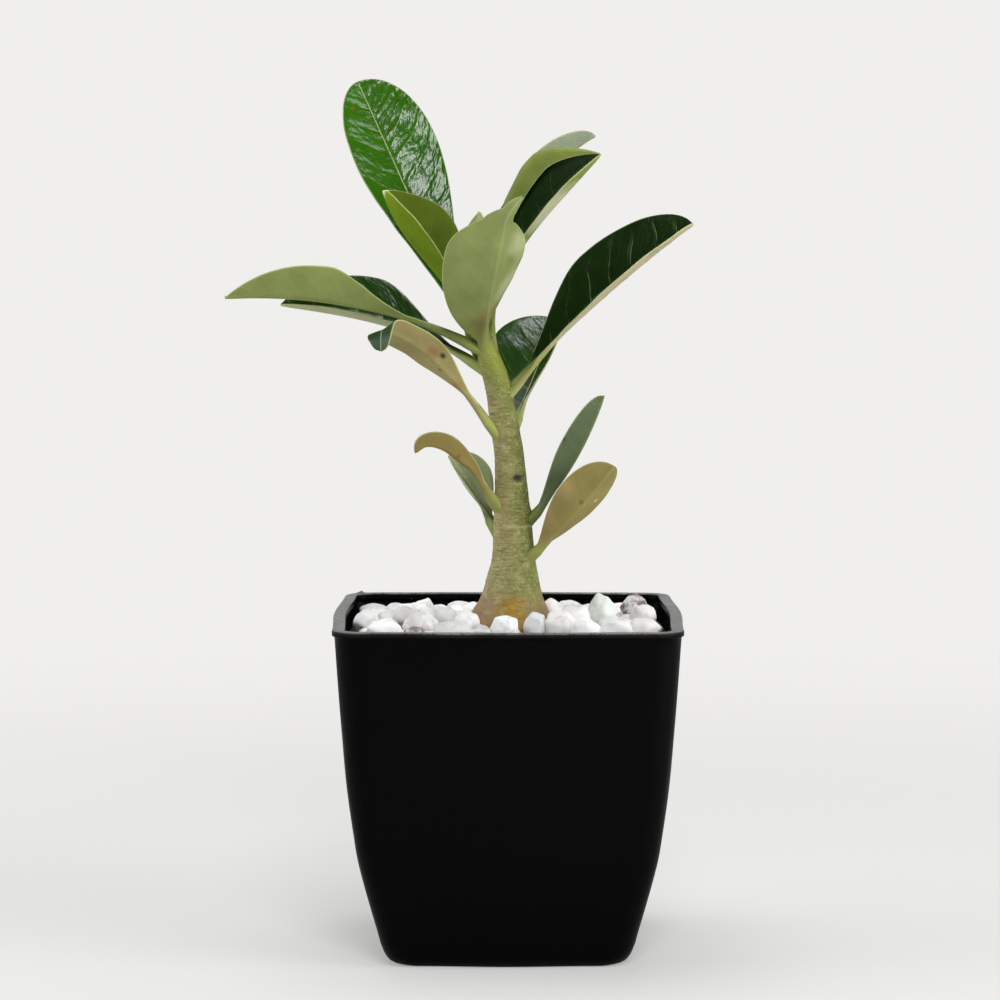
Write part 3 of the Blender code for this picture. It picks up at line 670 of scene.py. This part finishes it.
bump = add(tree, "Bump", {"Height": wrinkle, "Strength": 0.8, "Distance": 0.6 * MM})[0]
for height, strength, distance in ((patches, 0.5, 0.8), (fine, 0.35, 0.2)):
    bump = {"Height": height, "Strength": strength, "Distance": distance * MM, "Normal": bump}
    bump = add(tree, "Bump", bump)[0]
shader = add(tree, "BsdfPrincipled", {"Base Color": base, "Roughness": 0.68, "Normal": bump})
tree.links.new(shader[0], surface)

SCAR_PIT = (145.3, 296.0)  # height, degrees round
SPLIT_AROUND = 272  # degrees round to the split at the foot
OLD_RING = 130.4  # height of a groove round the stem
SIDES, RINGS = 128, 250
FOOT_RINGS = 10  # those below the stones, up to this height
FOOT_TOP = 96
foot_rings = np.linspace(STEM_LINE[0][0], FOOT_TOP, FOOT_RINGS, endpoint=False)
upper_rings = np.linspace(FOOT_TOP, STEM_LINE[-1][0], RINGS - FOOT_RINGS)
heights = np.concatenate((foot_rings, upper_rings))
points, greens_and_side_shade, youngs, browns, scars, pits = [], [], [], [], [], []
for z in heights:
    for j in range(SIDES):
        a = 360 * j / SIDES
        cos, sin = math.cos(math.radians(a)), math.sin(math.radians(a))
        radius = stem_radius(z, a)
        flare = min(1.0, max(0.0, (112 - z) / 12))
        lump = noise.noise((cos * radius * 0.16, sin * radius * 0.16, z * 0.11))
        crease = noise.noise((cos * 1.6, sin * 1.6, z * 1.5))
        ridge = abs(noise.noise((cos * 3.4, sin * 3.4, z * 0.05 + 7)))
        slope = math.radians(turn_from(SCAR_PIT[1], a)) * radius
        pit = math.exp(-((slope / 1.8) ** 2 + ((z - SCAR_PIT[0]) / 1.15) ** 2))
        lip = math.exp(-((slope / 2.0) ** 2 + ((z - SCAR_PIT[0] + 1.9) / 0.55) ** 2))
        ring = math.exp(-(((z - OLD_RING - 0.4 * lump) / 0.35) ** 2))
        radius += 0.25 * lump * min(1.0, radius / 5) + 0.07 * crease + flare * (0.9 * ridge - 0.3)
        radius += 0.25 * lip - 0.9 * pit - 0.12 * ring
        points.append((stem_centre(z) + radius * cos, radius * sin, z))
        foot = max(0.0, (113 - z) / 14)
        side = cos * 0.5 + 0.5
        # painted shade: greener and darker towards the right side; greener near the top is the
        # young bark's own
        greens_and_side_shade.append(0.05 + 0.95 * side + max(0.0, (z - 168) / 20) - 0.8 * ring - 0.5 * lip)
        youngs.append(0.75 * min(1.0, max(0.0, (z - 170) / 14)))
        browns.append(-0.25 + 1.9 * foot * (0.35 + abs(cos) ** 1.5) + 0.2 * (cos < 0))
        front = math.exp(-(turn_from(SPLIT_AROUND, a) / 26) ** 2)
        scars.append(-0.5 + 1.8 * front * min(1.0, max(0.0, (110.5 - z) / 3)))
        pits.append(min(1.0, 2.5 * pit**2))
add_piece(
    "living_stem", points, ring_faces(len(heights), SIDES), [material], "stem",
    None, {"green": greens_and_side_shade, "young": youngs, "brown": browns, "scar": scars, "pit": pits},
)

# --- Leaves -------------------------------------------------------------------------------
# Fleshy blades with a glossy wax skin above, a duller underside with the midrib standing out
# as a round ridge, and a thin pale margin. Each grows from its own cushion on the stem.

BLADE = 0.7  # thickness between the veins
CELL = 0.5  # size of the mesh on a blade
SEAT_GAP = 0.45  # between a stalk's cut foot and the bark, before it is rooted
ROOTED = 2.4  # how far a stalk runs on into its cushion
STALK_HALF = 1.2  # half a stalk's width, where a leaf's row has no stalk of its own
VEIN_GAP = 7.0  # between side veins, where it has no vein_gap
RELIEF = 0.05  # how deep they lie, where it has no relief
WAVE = 0.5  # how much a blade's surface wanders
FOOT_SHARE = 0.25  # of a blade's length, over which its midrib thickens to the stalk
STALK_GREEN = "#8c9a44"

# Each row bends a leaf's line from its cushion to its tip, or through the points of its
# route: bow is how far the middle stands out, bow_late moves that towards the tip, spring is
# how far the stalk leads straight out first, and hook bends the tip from hook_from on.
# face is the way the upper side looks, and roll turns it about the line, at foot and tip.
# Outline: widest is the share along where it is widest, neck how slender it is below that,
# blunt and point how full and how sharp its end is, knob the least share of the width kept
# there, and sides widens or narrows the left and right halves. fold raises each half by so
# many degrees, and curl rolls it on, over the part between the shares across in curl_at.
# Skin: colours above and below, how strongly the veins show, how matt it is, and marks as
# (share along, share across, radius, colour, strength, 0 above or 1 below).
LEAVES = (
    dict(
        name="leaf_back_upright", tip=(-47, 30, 267), bow=(1, 6, -3), face=(0.3, -0.85, 0.4),
        width=28, widest=0.77, neck=2.05, blunt=2.2, sides=(0.97, 1.12), fold=(12, 18),
        colours=("#2c5e00", "#5c7030"), veins=0.4, vein_gap=7.5, relief=0.16, matt=0.08,
        marks=((0.93, -0.6, 1.0, "#6b4a20", 0.8, 0),),
    ),
    dict(
        name="leaf_young_fold", tip=(-38, 6, 233), bow=(0.6, 0, 0.7), bow_late=-5.0, spring=1.5,
        face=(0.74, -0.48, 0.47), width=29.5, widest=0.66, neck=1.6, fold=(56, 56), point=0.6,
        colours=("#526600", "#6c8606"), veins=0.05, matt=1.1,
        marks=((1.0, 0.0, 2.5, "#dcdcb0", 0.9, 0), (1.0, 0.0, 2.5, "#dcdcb0", 0.9, 1)),
    ),
    dict(
        name="leaf_front", tip=(0, -30, 229), bow=(-0.4, -6, -2), hook=(4.2, 2, 2),
        hook_from=0.88, face=(-0.52, 0.86, 0.0), width=32, widest=0.6, neck=0.9, blunt=3.0,
        point=2.0, knob=0.14, sides=(0.88, 1.0), stalk=1.4, fold=(26, 31),
        # Its two pale marks on one half below are painted light falling on that half.
        colours=("#3c5a1c", "#77824a"), veins=0.03, relief=0.04, matt=0.4, marks=((0.4, -0.8,
        9.0, "#b4b88c", 0.6, 1), (0.72, -0.8, 8.0, "#b4b88c", 0.6, 1), (0.2, 0.0, 8.0,
        "#7a5a30", 0.4, 1)),
    ),
    dict(
        name="leaf_bud", tip=(-8.6, -3, 226.5), bow=(-2.0, -2.6, 0), spring=1.6,
        face=(0.3, 0.9, 0.2), width=13, widest=0.68, neck=2.2, fold=(40, 40), point=0.8,
        stalk=0.65, colours=("#5c6c20", "#8f9a66"), veins=0.0, relief=0.0, matt=0.5,
    ),
    dict(
        name="leaf_upper_right", tip=(28, -6, 244), bow=(-6.3, 2.4, 1.3), bow_late=-0.4,
        spring=4.5, face=(-0.6, -0.75, 0.3), width=32, widest=0.8, neck=1.9, blunt=1.6,
        point=0.9, sides=(1.45, 0.5), fold=(30, 65), curl=(190, 10), curl_at=(0.55, 0.85),
        colours=("#122e00", "#76843a"), veins=0.1, matt=0.35,
        # Its two pale marks below are painted light on the near half's underside strip.
        marks=((0.35, 0.7, 12.0, "#bcbc9c", 0.8, 1), (0.7, 0.7, 12.0, "#bcbc9c", 0.8, 1)),
    ),
    dict(
        name="leaf_upper_right_back", tip=(21, 16, 252.5), bow=(-6.0, 6, 0.5), bow_late=-0.5,
        spring=4.5, hook=(6, 0, -2.5), hook_from=0.75, face=(-0.8, -0.45, 0.45), roll=(10, -45),
        width=30, widest=0.6, neck=1.2, sides=(0.75, 0.76), fold=(45, 48),
        # Its grey-green colour below is partly painted sheen.
        colours=("#1c3a10", "#8a947c"), veins=0.1, relief=0.06, matt=0.3,
    ),
    dict(
        name="leaf_right", tip=(56, -10, 223), bow=(-1, -2, 2), face=(-0.58, -0.54, 0.61),
        roll=(0, -3), width=29, widest=0.56, neck=1.8, fold=(40, 40),
        colours=("#0e2600", "#a89e78"), veins=0.22, vein_gap=8.5, relief=0.1, matt=0.2,
        marks=((0.15, 0.6, 9.0, "#8a9040", 0.8, 1),),
    ),
    dict(
        name="leaf_right_back", tip=(15, 28, 193), bow=(0, 2, -2), face=(-0.56, -0.81, 0.18),
        width=32, widest=0.66, neck=1.4, sides=(1.05, 0.85), fold=(36, 42),
        colours=("#1a3c00", "#8a9060"), veins=0.25, relief=0.1, matt=0.2,
    ),
    dict(
        name="leaf_left", tip=(-85, -20, 201), bow=(0, -2, 4.8), face=(0.16, 0.17, 0.97),
        width=28, widest=0.62, neck=3.8, blunt=2.2, point=1.0, stalk=1.5, fold=(45, 45),
        colours=("#3e5c20", "#7f8b4c"), veins=0.04, matt=0.45,
    ),
    dict(
        name="leaf_left_back", tip=(-70, 8, 198), bow=(0, 1, 3.4), bow_late=-0.3,
        face=(0.1, -0.55, 0.83), width=27, widest=0.55, neck=2.3, point=0.8, sides=(0.62, 1),
        fold=(50, 50), colours=("#1a3e00", "#a0a674"), veins=0.3, relief=0.1, matt=0.2,
    ),
    dict(
        name="leaf_curled_left", route=((-11.5, -7, 170), (-16.5, -10, 176), (-21.5, -11.5,
        181.5), (-27, -13, 186), (-31.5, -15.5, 188.7), (-35, -19, 190.7), (-37.3, -23, 191.3),
        (-37.8, -25.5, 189), (-37.8, -26.3, 185.2)), face=(0.3, 0.8, 0.5), width=12.2,
        widest=0.55, neck=2.6, blunt=4.5, point=0.45, sides=(1, 1), fold=(8, 8),
        colours=("#1c3a14", "#968c5a"), veins=0.05, relief=0.04, matt=0.45, marks=((0.52, -0.3,
        3.0, "#9a5a40", 0.5, 1), (0.3, 0.2, 2.5, "#9a5a40", 0.4, 1), (0.47, -0.55, 1.4,
        "#2c1c0c", 0.95, 1), (0.42, 0.3, 0.7, "#4a3420", 0.8, 1)),
    ),
    dict(
        name="leaf_small_left", route=((-10.9, -6.5, 147.6), (-13.7, -8, 150.2), (-19.3, -11,
        154.6), (-24.5, -13, 156), (-28.2, -14, 154)), face=(0.1, 0.35, 0.93), width=10,
        widest=0.72, neck=1.6, blunt=2.0, fold=(50, 35), colours=("#2a3a14", "#7a6c38"),
        veins=0.03, relief=0.03, matt=0.5, marks=((0.3, 0.3, 0.8, "#5a2014", 0.7, 1), (0.55,
        -0.2, 0.8, "#5a2014", 0.7, 1), (0.75, 0.3, 0.7, "#5a2014", 0.7, 1)),
    ),
    dict(
        name="leaf_low_left_back", tip=(-18, 5, 151.5), bow=(0, 1, 0), face=(0.6, -0.71, 0.37),
        width=20, widest=0.62, neck=1.4, sides=(1, 0.85), fold=(45, 45),
        # Its pale grey-green colour above is painted sheen.
        colours=("#8f9c74", "#64734f"), veins=0.08, matt=0.45,
        marks=((0.85, -0.3, 1.2, "#b08a80", 0.8, 0),),
    ),
    dict(
        name="leaf_low_right_narrow", tip=(29, -12, 171), bow=(1.5, -1, -2),
        face=(-0.7, 0.6, 0.4), width=13, widest=0.6, neck=1.3, sides=(0.55, 1), stalk=0.9,
        fold=(45, 45), colours=("#5c6448", "#5a6848"), veins=0.04, relief=0.04, matt=1.0,
        marks=((0.62, 0.95, 0.8, "#14140c", 0.9, 0), (0.62, 0.95, 0.8, "#14140c", 0.9, 1)),
    ),
    dict(
        name="leaf_low_right_broad", tip=(32, -15, 150), bow=(0.5, -1, -1),
        face=(-0.36, 0.87, 0.35), width=15, widest=0.62, neck=1.2, blunt=2.2, sides=(1.15, 1.2),
        fold=(32, 32), colours=("#5c5a2c", "#877c46"), veins=0.04, relief=0.04, matt=0.45,
        # The two pale tan marks along one edge below are painted light on that half.
        marks=((0.6, 0.9, 5.0, "#a08858", 0.7, 1), (0.3, 0.9, 4.0, "#a08858", 0.7, 1), (0.6,
        0.1, 0.9, "#4a3420", 0.7, 1), (0.65, -0.5, 0.9, "#d8c8a0", 0.6, 1)),
    ),
)


def unit(vector):
    """The same directions with length one."""
    return vector / np.linalg.norm(vector, axis=-1, keepdims=True)


def smooth_route(corners, share):
    """Points at shares of the way along a smooth line through the corners."""
    corners = np.array(corners, float)
    ends = np.vstack((2 * corners[0] - corners[1], corners, 2 * corners[-1] - corners[-2]))
    curve = []
    for i in range(len(corners) - 1):
        a, b, c, d = ends[i : i + 4]
        for t in np.linspace(0, 1, 12, endpoint=False):
            bend = (2 * a - 5 * b + 4 * c - d) * t**2 + (3 * b - a - 3 * c + d) * t**3
            curve.append(b + ((c - a) * t + bend) / 2)
    curve = np.array(curve + [corners[-1]])
    along = np.concatenate(([0], np.cumsum(np.linalg.norm(np.diff(curve, axis=0), axis=1))))
    share = np.asarray(share) * along[-1]
    return np.stack([np.interp(share, along, curve[:, i]) for i in range(3)], axis=1)


def leaf_seat(leaf):
    """The point in the stem's middle that a leaf grows from, and its way out of the stem."""
    high, angle = LEAF_FEET[leaf["name"]]
    out = np.array((math.cos(math.radians(angle)), math.sin(math.radians(angle)), 0))
    return np.array((stem_centre(high), 0, high)), out


def seat_distance(leaf):
    """How far out from the stem's centre a stalk's cut foot lies, clear of the bark."""
    high, angle = LEAF_FEET[leaf["name"]]
    reach = []
    for dz in (-3, -2, -1, 0, 1, 2):
        for da in (-20, -10, 0, 10, 20):
            lean = (stem_centre(high + dz) - stem_centre(high)) * math.cos(math.radians(angle))
            reach.append(stem_radius(high + dz, angle + da) + lean)
    return max(reach) + SEAT_GAP


def midrib(leaf, share):
    """Points along the line of the midrib from the stem to the tip."""
    centre, out = leaf_seat(leaf)
    foot = centre + out * seat_distance(leaf)
    if "route" in leaf:
        return smooth_route([foot, *leaf["route"]], share)
    tip = np.array(leaf["tip"], float)
    late = leaf.get("bow_late", 0.0)
    bend = 4 * share * (1 - share) * (1 - late * (1 - 2 * share))
    start = leaf.get("hook_from", 0.8)
    hook = np.clip((share - start) / (1 - start), 0, 1) ** 2
    line = foot + np.outer(share, tip - foot) + np.outer(bend, leaf["bow"])
    line += np.outer(leaf.get("spring", 0.0) * share / (share + 0.05) * (1 - share), out)
    return line + np.outer(hook, leaf.get("hook", (0, 0, 0)))


def leaf_frames(leaf, share):
    """Midrib points, and unit vectors across to the left and out of the upper face."""
    points = midrib(leaf, share)
    step = 1e-3
    ahead = midrib(leaf, np.minimum(share + step, 1.0))
    along = unit(ahead - midrib(leaf, np.maximum(share - step, 0.0)))
    face = np.array(leaf["face"], float)
    if "route" in leaf:
        looks = [face]
        for way in along:
            look = looks[-1] - (looks[-1] @ way) * way
            looks.append(look / np.linalg.norm(look))
        face = np.array(looks[1:])
    else:
        face = unit(face - (along @ face)[:, None] * along)
    left = np.cross(face, along)
    start, end = leaf.get("roll", (0, 0))
    roll = np.radians(start + (end - start) * share)[:, None]
    cos, sin = np.cos(roll), np.sin(roll)
    return points, cos * left + sin * face, cos * face - sin * left


def half_width(leaf, share):
    """Half the width of a blade's outline along it, before sides makes one half wider."""
    widest = leaf["widest"]
    below = 1 - (1 - np.clip(share / widest, 0, 1) ** leaf.get("neck", 1.5)) ** 2
    past = np.clip((share - widest) / (1 - widest), 0, 1) ** leaf.get("blunt", 2.0)
    above = np.clip(1 - past, 0, 1) ** leaf.get("point", 0.5)
    above = np.maximum(above, leaf.get("knob", 0.0) * np.clip((1 - share) / 0.04, 0, 1) ** 0.5)
    return leaf["width"] / 2 * np.where(share < widest, below, above)


def blade_grid(leaf, rows, columns):
    """Middle surface of a blade in rows from foot to tip, with the distance across."""
    even = np.linspace(0, 1, rows + 1)
    share = even if "route" in leaf else 0.35 * even + 0.65 * (1 - (1 - even) ** 1.8)
    points, left, face = leaf_frames(leaf, share)
    stalk = leaf.get("stalk", STALK_HALF) * (1 - 0.6 * share)
    grid = np.zeros((rows + 1, 2 * columns + 1, 3))
    across = np.zeros(grid.shape[:2])
    grid[:, columns] = points
    curls, sides = leaf.get("curl", (0, 0)), leaf.get("sides", (1, 1))
    starts, ends = leaf.get("curl_at", (0.0, 1.0))
    for side, fold, curl, wide in zip((1, -1), leaf["fold"], curls, sides):
        width = np.maximum(half_width(leaf, share) * wide, stalk)
        place, reach = points.copy(), np.zeros(rows + 1)
        for j in range(1, columns + 1):
            now = width * j / columns
            turned = min(max(((j - 0.5) / columns - starts) / (ends - starts), 0), 1)
            angle = math.radians(fold * min(1, 5 * j / columns) + curl * turned)
            way = math.cos(angle) * side * left + math.sin(angle) * face
            place = place + (now - reach)[:, None] * way
            reach = now
            grid[:, columns - side * j] = place
            across[:, columns - side * j] = -side * now
    return grid, across, share


def leaf_tints(leaf, across, share, wander, length):
    """Colour at each point above and then below: greener at the stalk, with the marks."""
    width = np.abs(across[:, (0, -1)])
    side_width = np.where(across < 0, width[:, :1], width[:, 1:])
    along = np.broadcast_to(share[:, None], across.shape)
    stalk = 0.55 * np.clip(1.2 - along / 0.12, 0, 1)[..., None]
    tints = []
    for face, colour in enumerate(leaf["colours"]):
        tint = np.tile(np.array(linear(colour)[:3]), (*across.shape, 1))
        tint = tint * (1 - stalk) + np.array(linear(STALK_GREEN)[:3]) * stalk
        for at, off, radius, mark, strength, side in leaf.get("marks", ()):
            if side != face:
                continue
            dv = (along - at) * length
            du = (across / side_width - off) * side_width
            far = np.sqrt(du**2 + dv**2) / radius * (1 + 0.5 * wander)
            shown = strength * np.clip(1.5 - 1.5 * far, 0, 1)[..., None]
            tint = tint * (1 - shown) + np.array(linear(mark)[:3]) * shown
        tints.append(np.concatenate((tint[:1], tint)).reshape(-1, 3))
    tints = np.concatenate(tints)
    return np.concatenate((tints, np.ones((len(tints), 1))), axis=1)


def leaf_faces(rows, count):
    """Faces of a closed blade whose upper points all come before its lower ones, and 0 for
    each that is on the upper side or 1 for one below or round the edge."""
    under = rows * count
    faces, kinds = [], []
    for i in range(rows - 1):
        for j in range(count - 1):
            a = i * count + j
            faces.append((a, a + 1, a + count + 1, a + count))
            faces.append((under + a, under + a + count, under + a + count + 1, under + a + 1))
            kinds += [0, 1]
        for j in (0, count - 1):
            a, b = i * count + j, (i + 1) * count + j
            faces.append((a, b, under + b, under + a))
            kinds.append(1)
    for i in (0, rows - 1):
        for j in range(count - 1):
            a = i * count + j
            faces.append((a, a + 1, under + a + 1, under + a))
            kinds.append(1)
    return faces, kinds


def add_leaf(leaf, materials):
    """A closed leaf with sunk side veins, a raised midrib below and a stalk in its cushion."""
    name = leaf["name"]
    line = midrib(leaf, np.linspace(0, 1, 50))
    length = np.linalg.norm(np.diff(line, axis=0), axis=1).sum()
    rows = int(length / CELL)
    columns = max(6, int(leaf["width"] * max(leaf.get("sides", (1, 1))) / 2 / CELL))
    grid, across, share = blade_grid(leaf, rows, columns)
    normal = unit(np.cross(np.gradient(grid, axis=0), np.gradient(grid, axis=1)) * -1.0)
    steps = np.linalg.norm(np.diff(grid[:, columns], axis=0), axis=1)
    run = np.broadcast_to(np.concatenate(([0], np.cumsum(steps)))[:, None], across.shape)
    width = np.abs(across[:, (0, -1)])
    aside = np.abs(across)
    edge = np.where(across < 0, width[:, :1], width[:, 1:]) - aside
    spots = zip(across.ravel(), run.ravel())
    wander = [noise.noise((u * 0.13, v * 0.13, len(name))) for u, v in spots]
    wander = np.array(wander).reshape(across.shape)

    gap = leaf.get("vein_gap", VEIN_GAP)
    phase = (run - 0.5 * aside - 0.022 * aside**2 + 1.6 * wander) / gap + 0.5 * (across > 0)
    near = np.abs(phase - np.round(phase)) * gap
    inner = np.clip(edge / 3, 0, 1) * np.clip(aside / 2, 0, 1)
    relief = -leaf.get("relief", RELIEF) * np.exp(-((near / 0.7) ** 2)) * inner
    relief += 0.7 * wander * np.clip(aside / 8, 0, 1) ** 2 * WAVE
    relief *= np.clip(share / 0.2, 0, 1)[:, None]
    thick = BLADE * (0.45 + 0.55 * np.clip(edge / 2.2, 0, 1) ** 0.5)
    near_foot = np.clip(1 - share / FOOT_SHARE, 0, 1)[:, None]
    rib_half = 0.55 + 1.0 * near_foot + 0.35 * (1 - share)[:, None]
    ridge = rib_half * (0.35 + 0.8 * near_foot) * np.exp(-((across / (rib_half * 1.1)) ** 2))
    upper = grid + normal * (thick / 2 + relief)[..., None]
    lower = grid - normal * (thick / 2 + ridge - relief)[..., None]

    # The foot is cut square to the stem, and the stalk then runs on into its cushion.
    centre, out = leaf_seat(leaf)
    way = unit(grid[1, columns] - grid[0, columns])
    for skin in (upper, lower):
        short = seat_distance(leaf) - (skin[0] - centre) @ out
        skin[0] += np.outer(short / (way @ out), way)
    middle = (upper[0] + lower[0]).mean(axis=0) / 2
    rooted = [middle + (skin[0] - middle) * 1.12 - way * ROOTED for skin in (upper, lower)]
    upper = np.concatenate((rooted[0][None], upper))
    lower = np.concatenate((rooted[1][None], lower))

    def both(values):
        """Numbers of the blade's grid for every point above and below, with the root row."""
        return np.tile(np.concatenate((values[:1], values)).reshape(-1), 2)

    along = np.broadcast_to(share[:, None], across.shape)
    tints = leaf_tints(leaf, across, share, wander, length)
    values = {
        "tint": tints,
        "phase": both(phase),
        "off_rib": both(aside / rib_half),
        "off_edge": both(edge + 2.0 * np.clip(1 - along / 0.15, 0, 1)),
        "veins": both(leaf["veins"] * np.clip(along / 0.15, 0, 1)),
        "matt": np.full(len(tints), leaf["matt"]),
    }
    faces, kinds = leaf_faces(rows + 2, 2 * columns + 1)
    points = np.concatenate((upper.reshape(-1, 3), lower.reshape(-1, 3)))
    blade = name.replace("leaf", "blade", 1)
    piece = add_piece(blade, points, faces, materials, name, None, values)
    for polygon in piece.data.polygons:
        polygon.material_index = kinds[polygon.index]


# Leaf tissue under a wax skin: glossy above, satin below. The skin puckers in fine crinkles
# that run along the side veins, which breaks the shine up into streaks.
LEAF_CLOUD, VEIN_GLINT_BREAK = 9.09, 3.85
LEAF_GRAIN = 0.667  # the skin's cells, drawn far coarser than real ones
CRINKLES = (4.4, 0.3, 1.0)  # from one side vein to the next, and out from the midrib


def leaf_tissue(name, gloss, wax, rib_shown, pale):
    """One side of the leaves: gloss is the least roughness, wax the specular level, pale the
    colour of the vein lines, which are partly painted glints, and of midrib and margin, and
    rib_shown how strongly the midrib has it."""
    material, tree, surface = new_material(name)
    spot = add(tree, "TexCoord")["Object"]
    value = {
        label: add(tree, "Attribute", attribute_name=label)["Fac"]
        for label in ("phase", "off_rib", "off_edge", "veins", "matt")
    }
    tint = add(tree, "Attribute", attribute_name="tint")["Color"]
    cloud = {"Vector": spot, "Scale": pitch(LEAF_CLOUD), "Detail": 5.0}
    cloud = add(tree, "TexNoise", cloud)[0]
    shade = add(tree, "MapRange", {0: cloud, 1: 0.3, 2: 0.7, 3: 0.86, 4: 1.14})[0]
    shade = add(tree, "CombineXYZ", {0: shade, 1: shade, 2: shade})[0]
    shade = {0: 1.0, 6: tint, 7: shade}
    base = add(tree, "Mix", shade, data_type="RGBA", blend_type="MULTIPLY")[2]
    # pale lines along the side veins, broken into short pieces: partly the veins' own colour,
    # partly painted glints
    off_vein = add(tree, "Math", {0: value["phase"], 1: 0.5}, operation="PINGPONG")[0]
    line = add(tree, "MapRange", {0: off_vein, 1: 0.006, 2: 0.028, 3: 1.0, 4: 0.0})[0]
    fading = add(tree, "MapRange", {0: value["off_edge"], 1: 2.0, 2: 6.0})[0]
    line = add(tree, "Math", {0: line, 1: fading}, operation="MULTIPLY")[0]
    line = add(tree, "Math", {0: line, 1: value["veins"]}, operation="MULTIPLY")[0]
    gaps = add(tree, "TexNoise", {"Vector": spot, "Scale": pitch(VEIN_GLINT_BREAK), "Detail": 2.0})[0]
    gaps = add(tree, "MapRange", {0: gaps, 1: 0.42, 2: 0.58, 3: 0.1, 4: 1.3})[0]
    line = add(tree, "Math", {0: line, 1: gaps}, operation="MULTIPLY", use_clamp=True)[0]
    rib = add(tree, "MapRange", {0: value["off_rib"], 1: 0.1, 2: 0.42, 3: rib_shown, 4: 0.0})[0]
    rim = add(tree, "MapRange", {0: value["off_edge"], 1: 0.05, 2: 0.35, 3: 0.45, 4: 0.0})[0]
    for share in (line, rib, rim):
        base = add(tree, "Mix", {0: share, 6: base, 7: linear(pale)}, data_type="RGBA")[2]
    rough = add(tree, "Math", {0: value["matt"], 1: 0.6, 2: gloss}, operation="MULTIPLY_ADD")[0]
    fine = add(tree, "TexNoise", {"Vector": spot, "Scale": pitch(LEAF_GRAIN), "Detail": 3.0})[0]
    streaks = add(tree, "CombineXYZ", {0: value["phase"], 1: value["off_rib"]})[0]
    streaks = add(tree, "VectorMath", {0: streaks, 1: CRINKLES}, operation="MULTIPLY")[0]
    streaks = add(tree, "TexNoise", {"Vector": streaks, "Scale": 1.0, "Detail": 1.5})[0]
    bump = {"Height": streaks, "Strength": value["veins"], "Distance": 0.6 * MM}
    bump = add(tree, "Bump", bump)[0]
    bump = {"Height": fine, "Strength": 0.05, "Distance": 0.1 * MM, "Normal": bump}
    bump = add(tree, "Bump", bump)[0]
    shader = add(
        tree,
        "BsdfPrincipled",
        {
            "Base Color": base, "Roughness": rough, "IOR": 1.45, "Specular IOR Level": wax,
            "Subsurface Weight": 0.12, "Subsurface Scale": 1.0 * MM,
            "Subsurface Radius": (0.6, 1.0, 0.2), "Normal": bump,
        },
    )
    tree.links.new(shader[0], surface)
    return material


PALE_ABOVE, PALE_BELOW = "#b4bc8c", "#c3c58c"
upper_side = leaf_tissue("waxy_leaf_skin", 0.15, 0.38, 0.75, PALE_ABOVE)
under_side = leaf_tissue("leaf_underside", 0.36, 0.3, 0.1, PALE_BELOW)
for leaf in LEAVES:
    add_leaf(leaf, (upper_side, under_side))
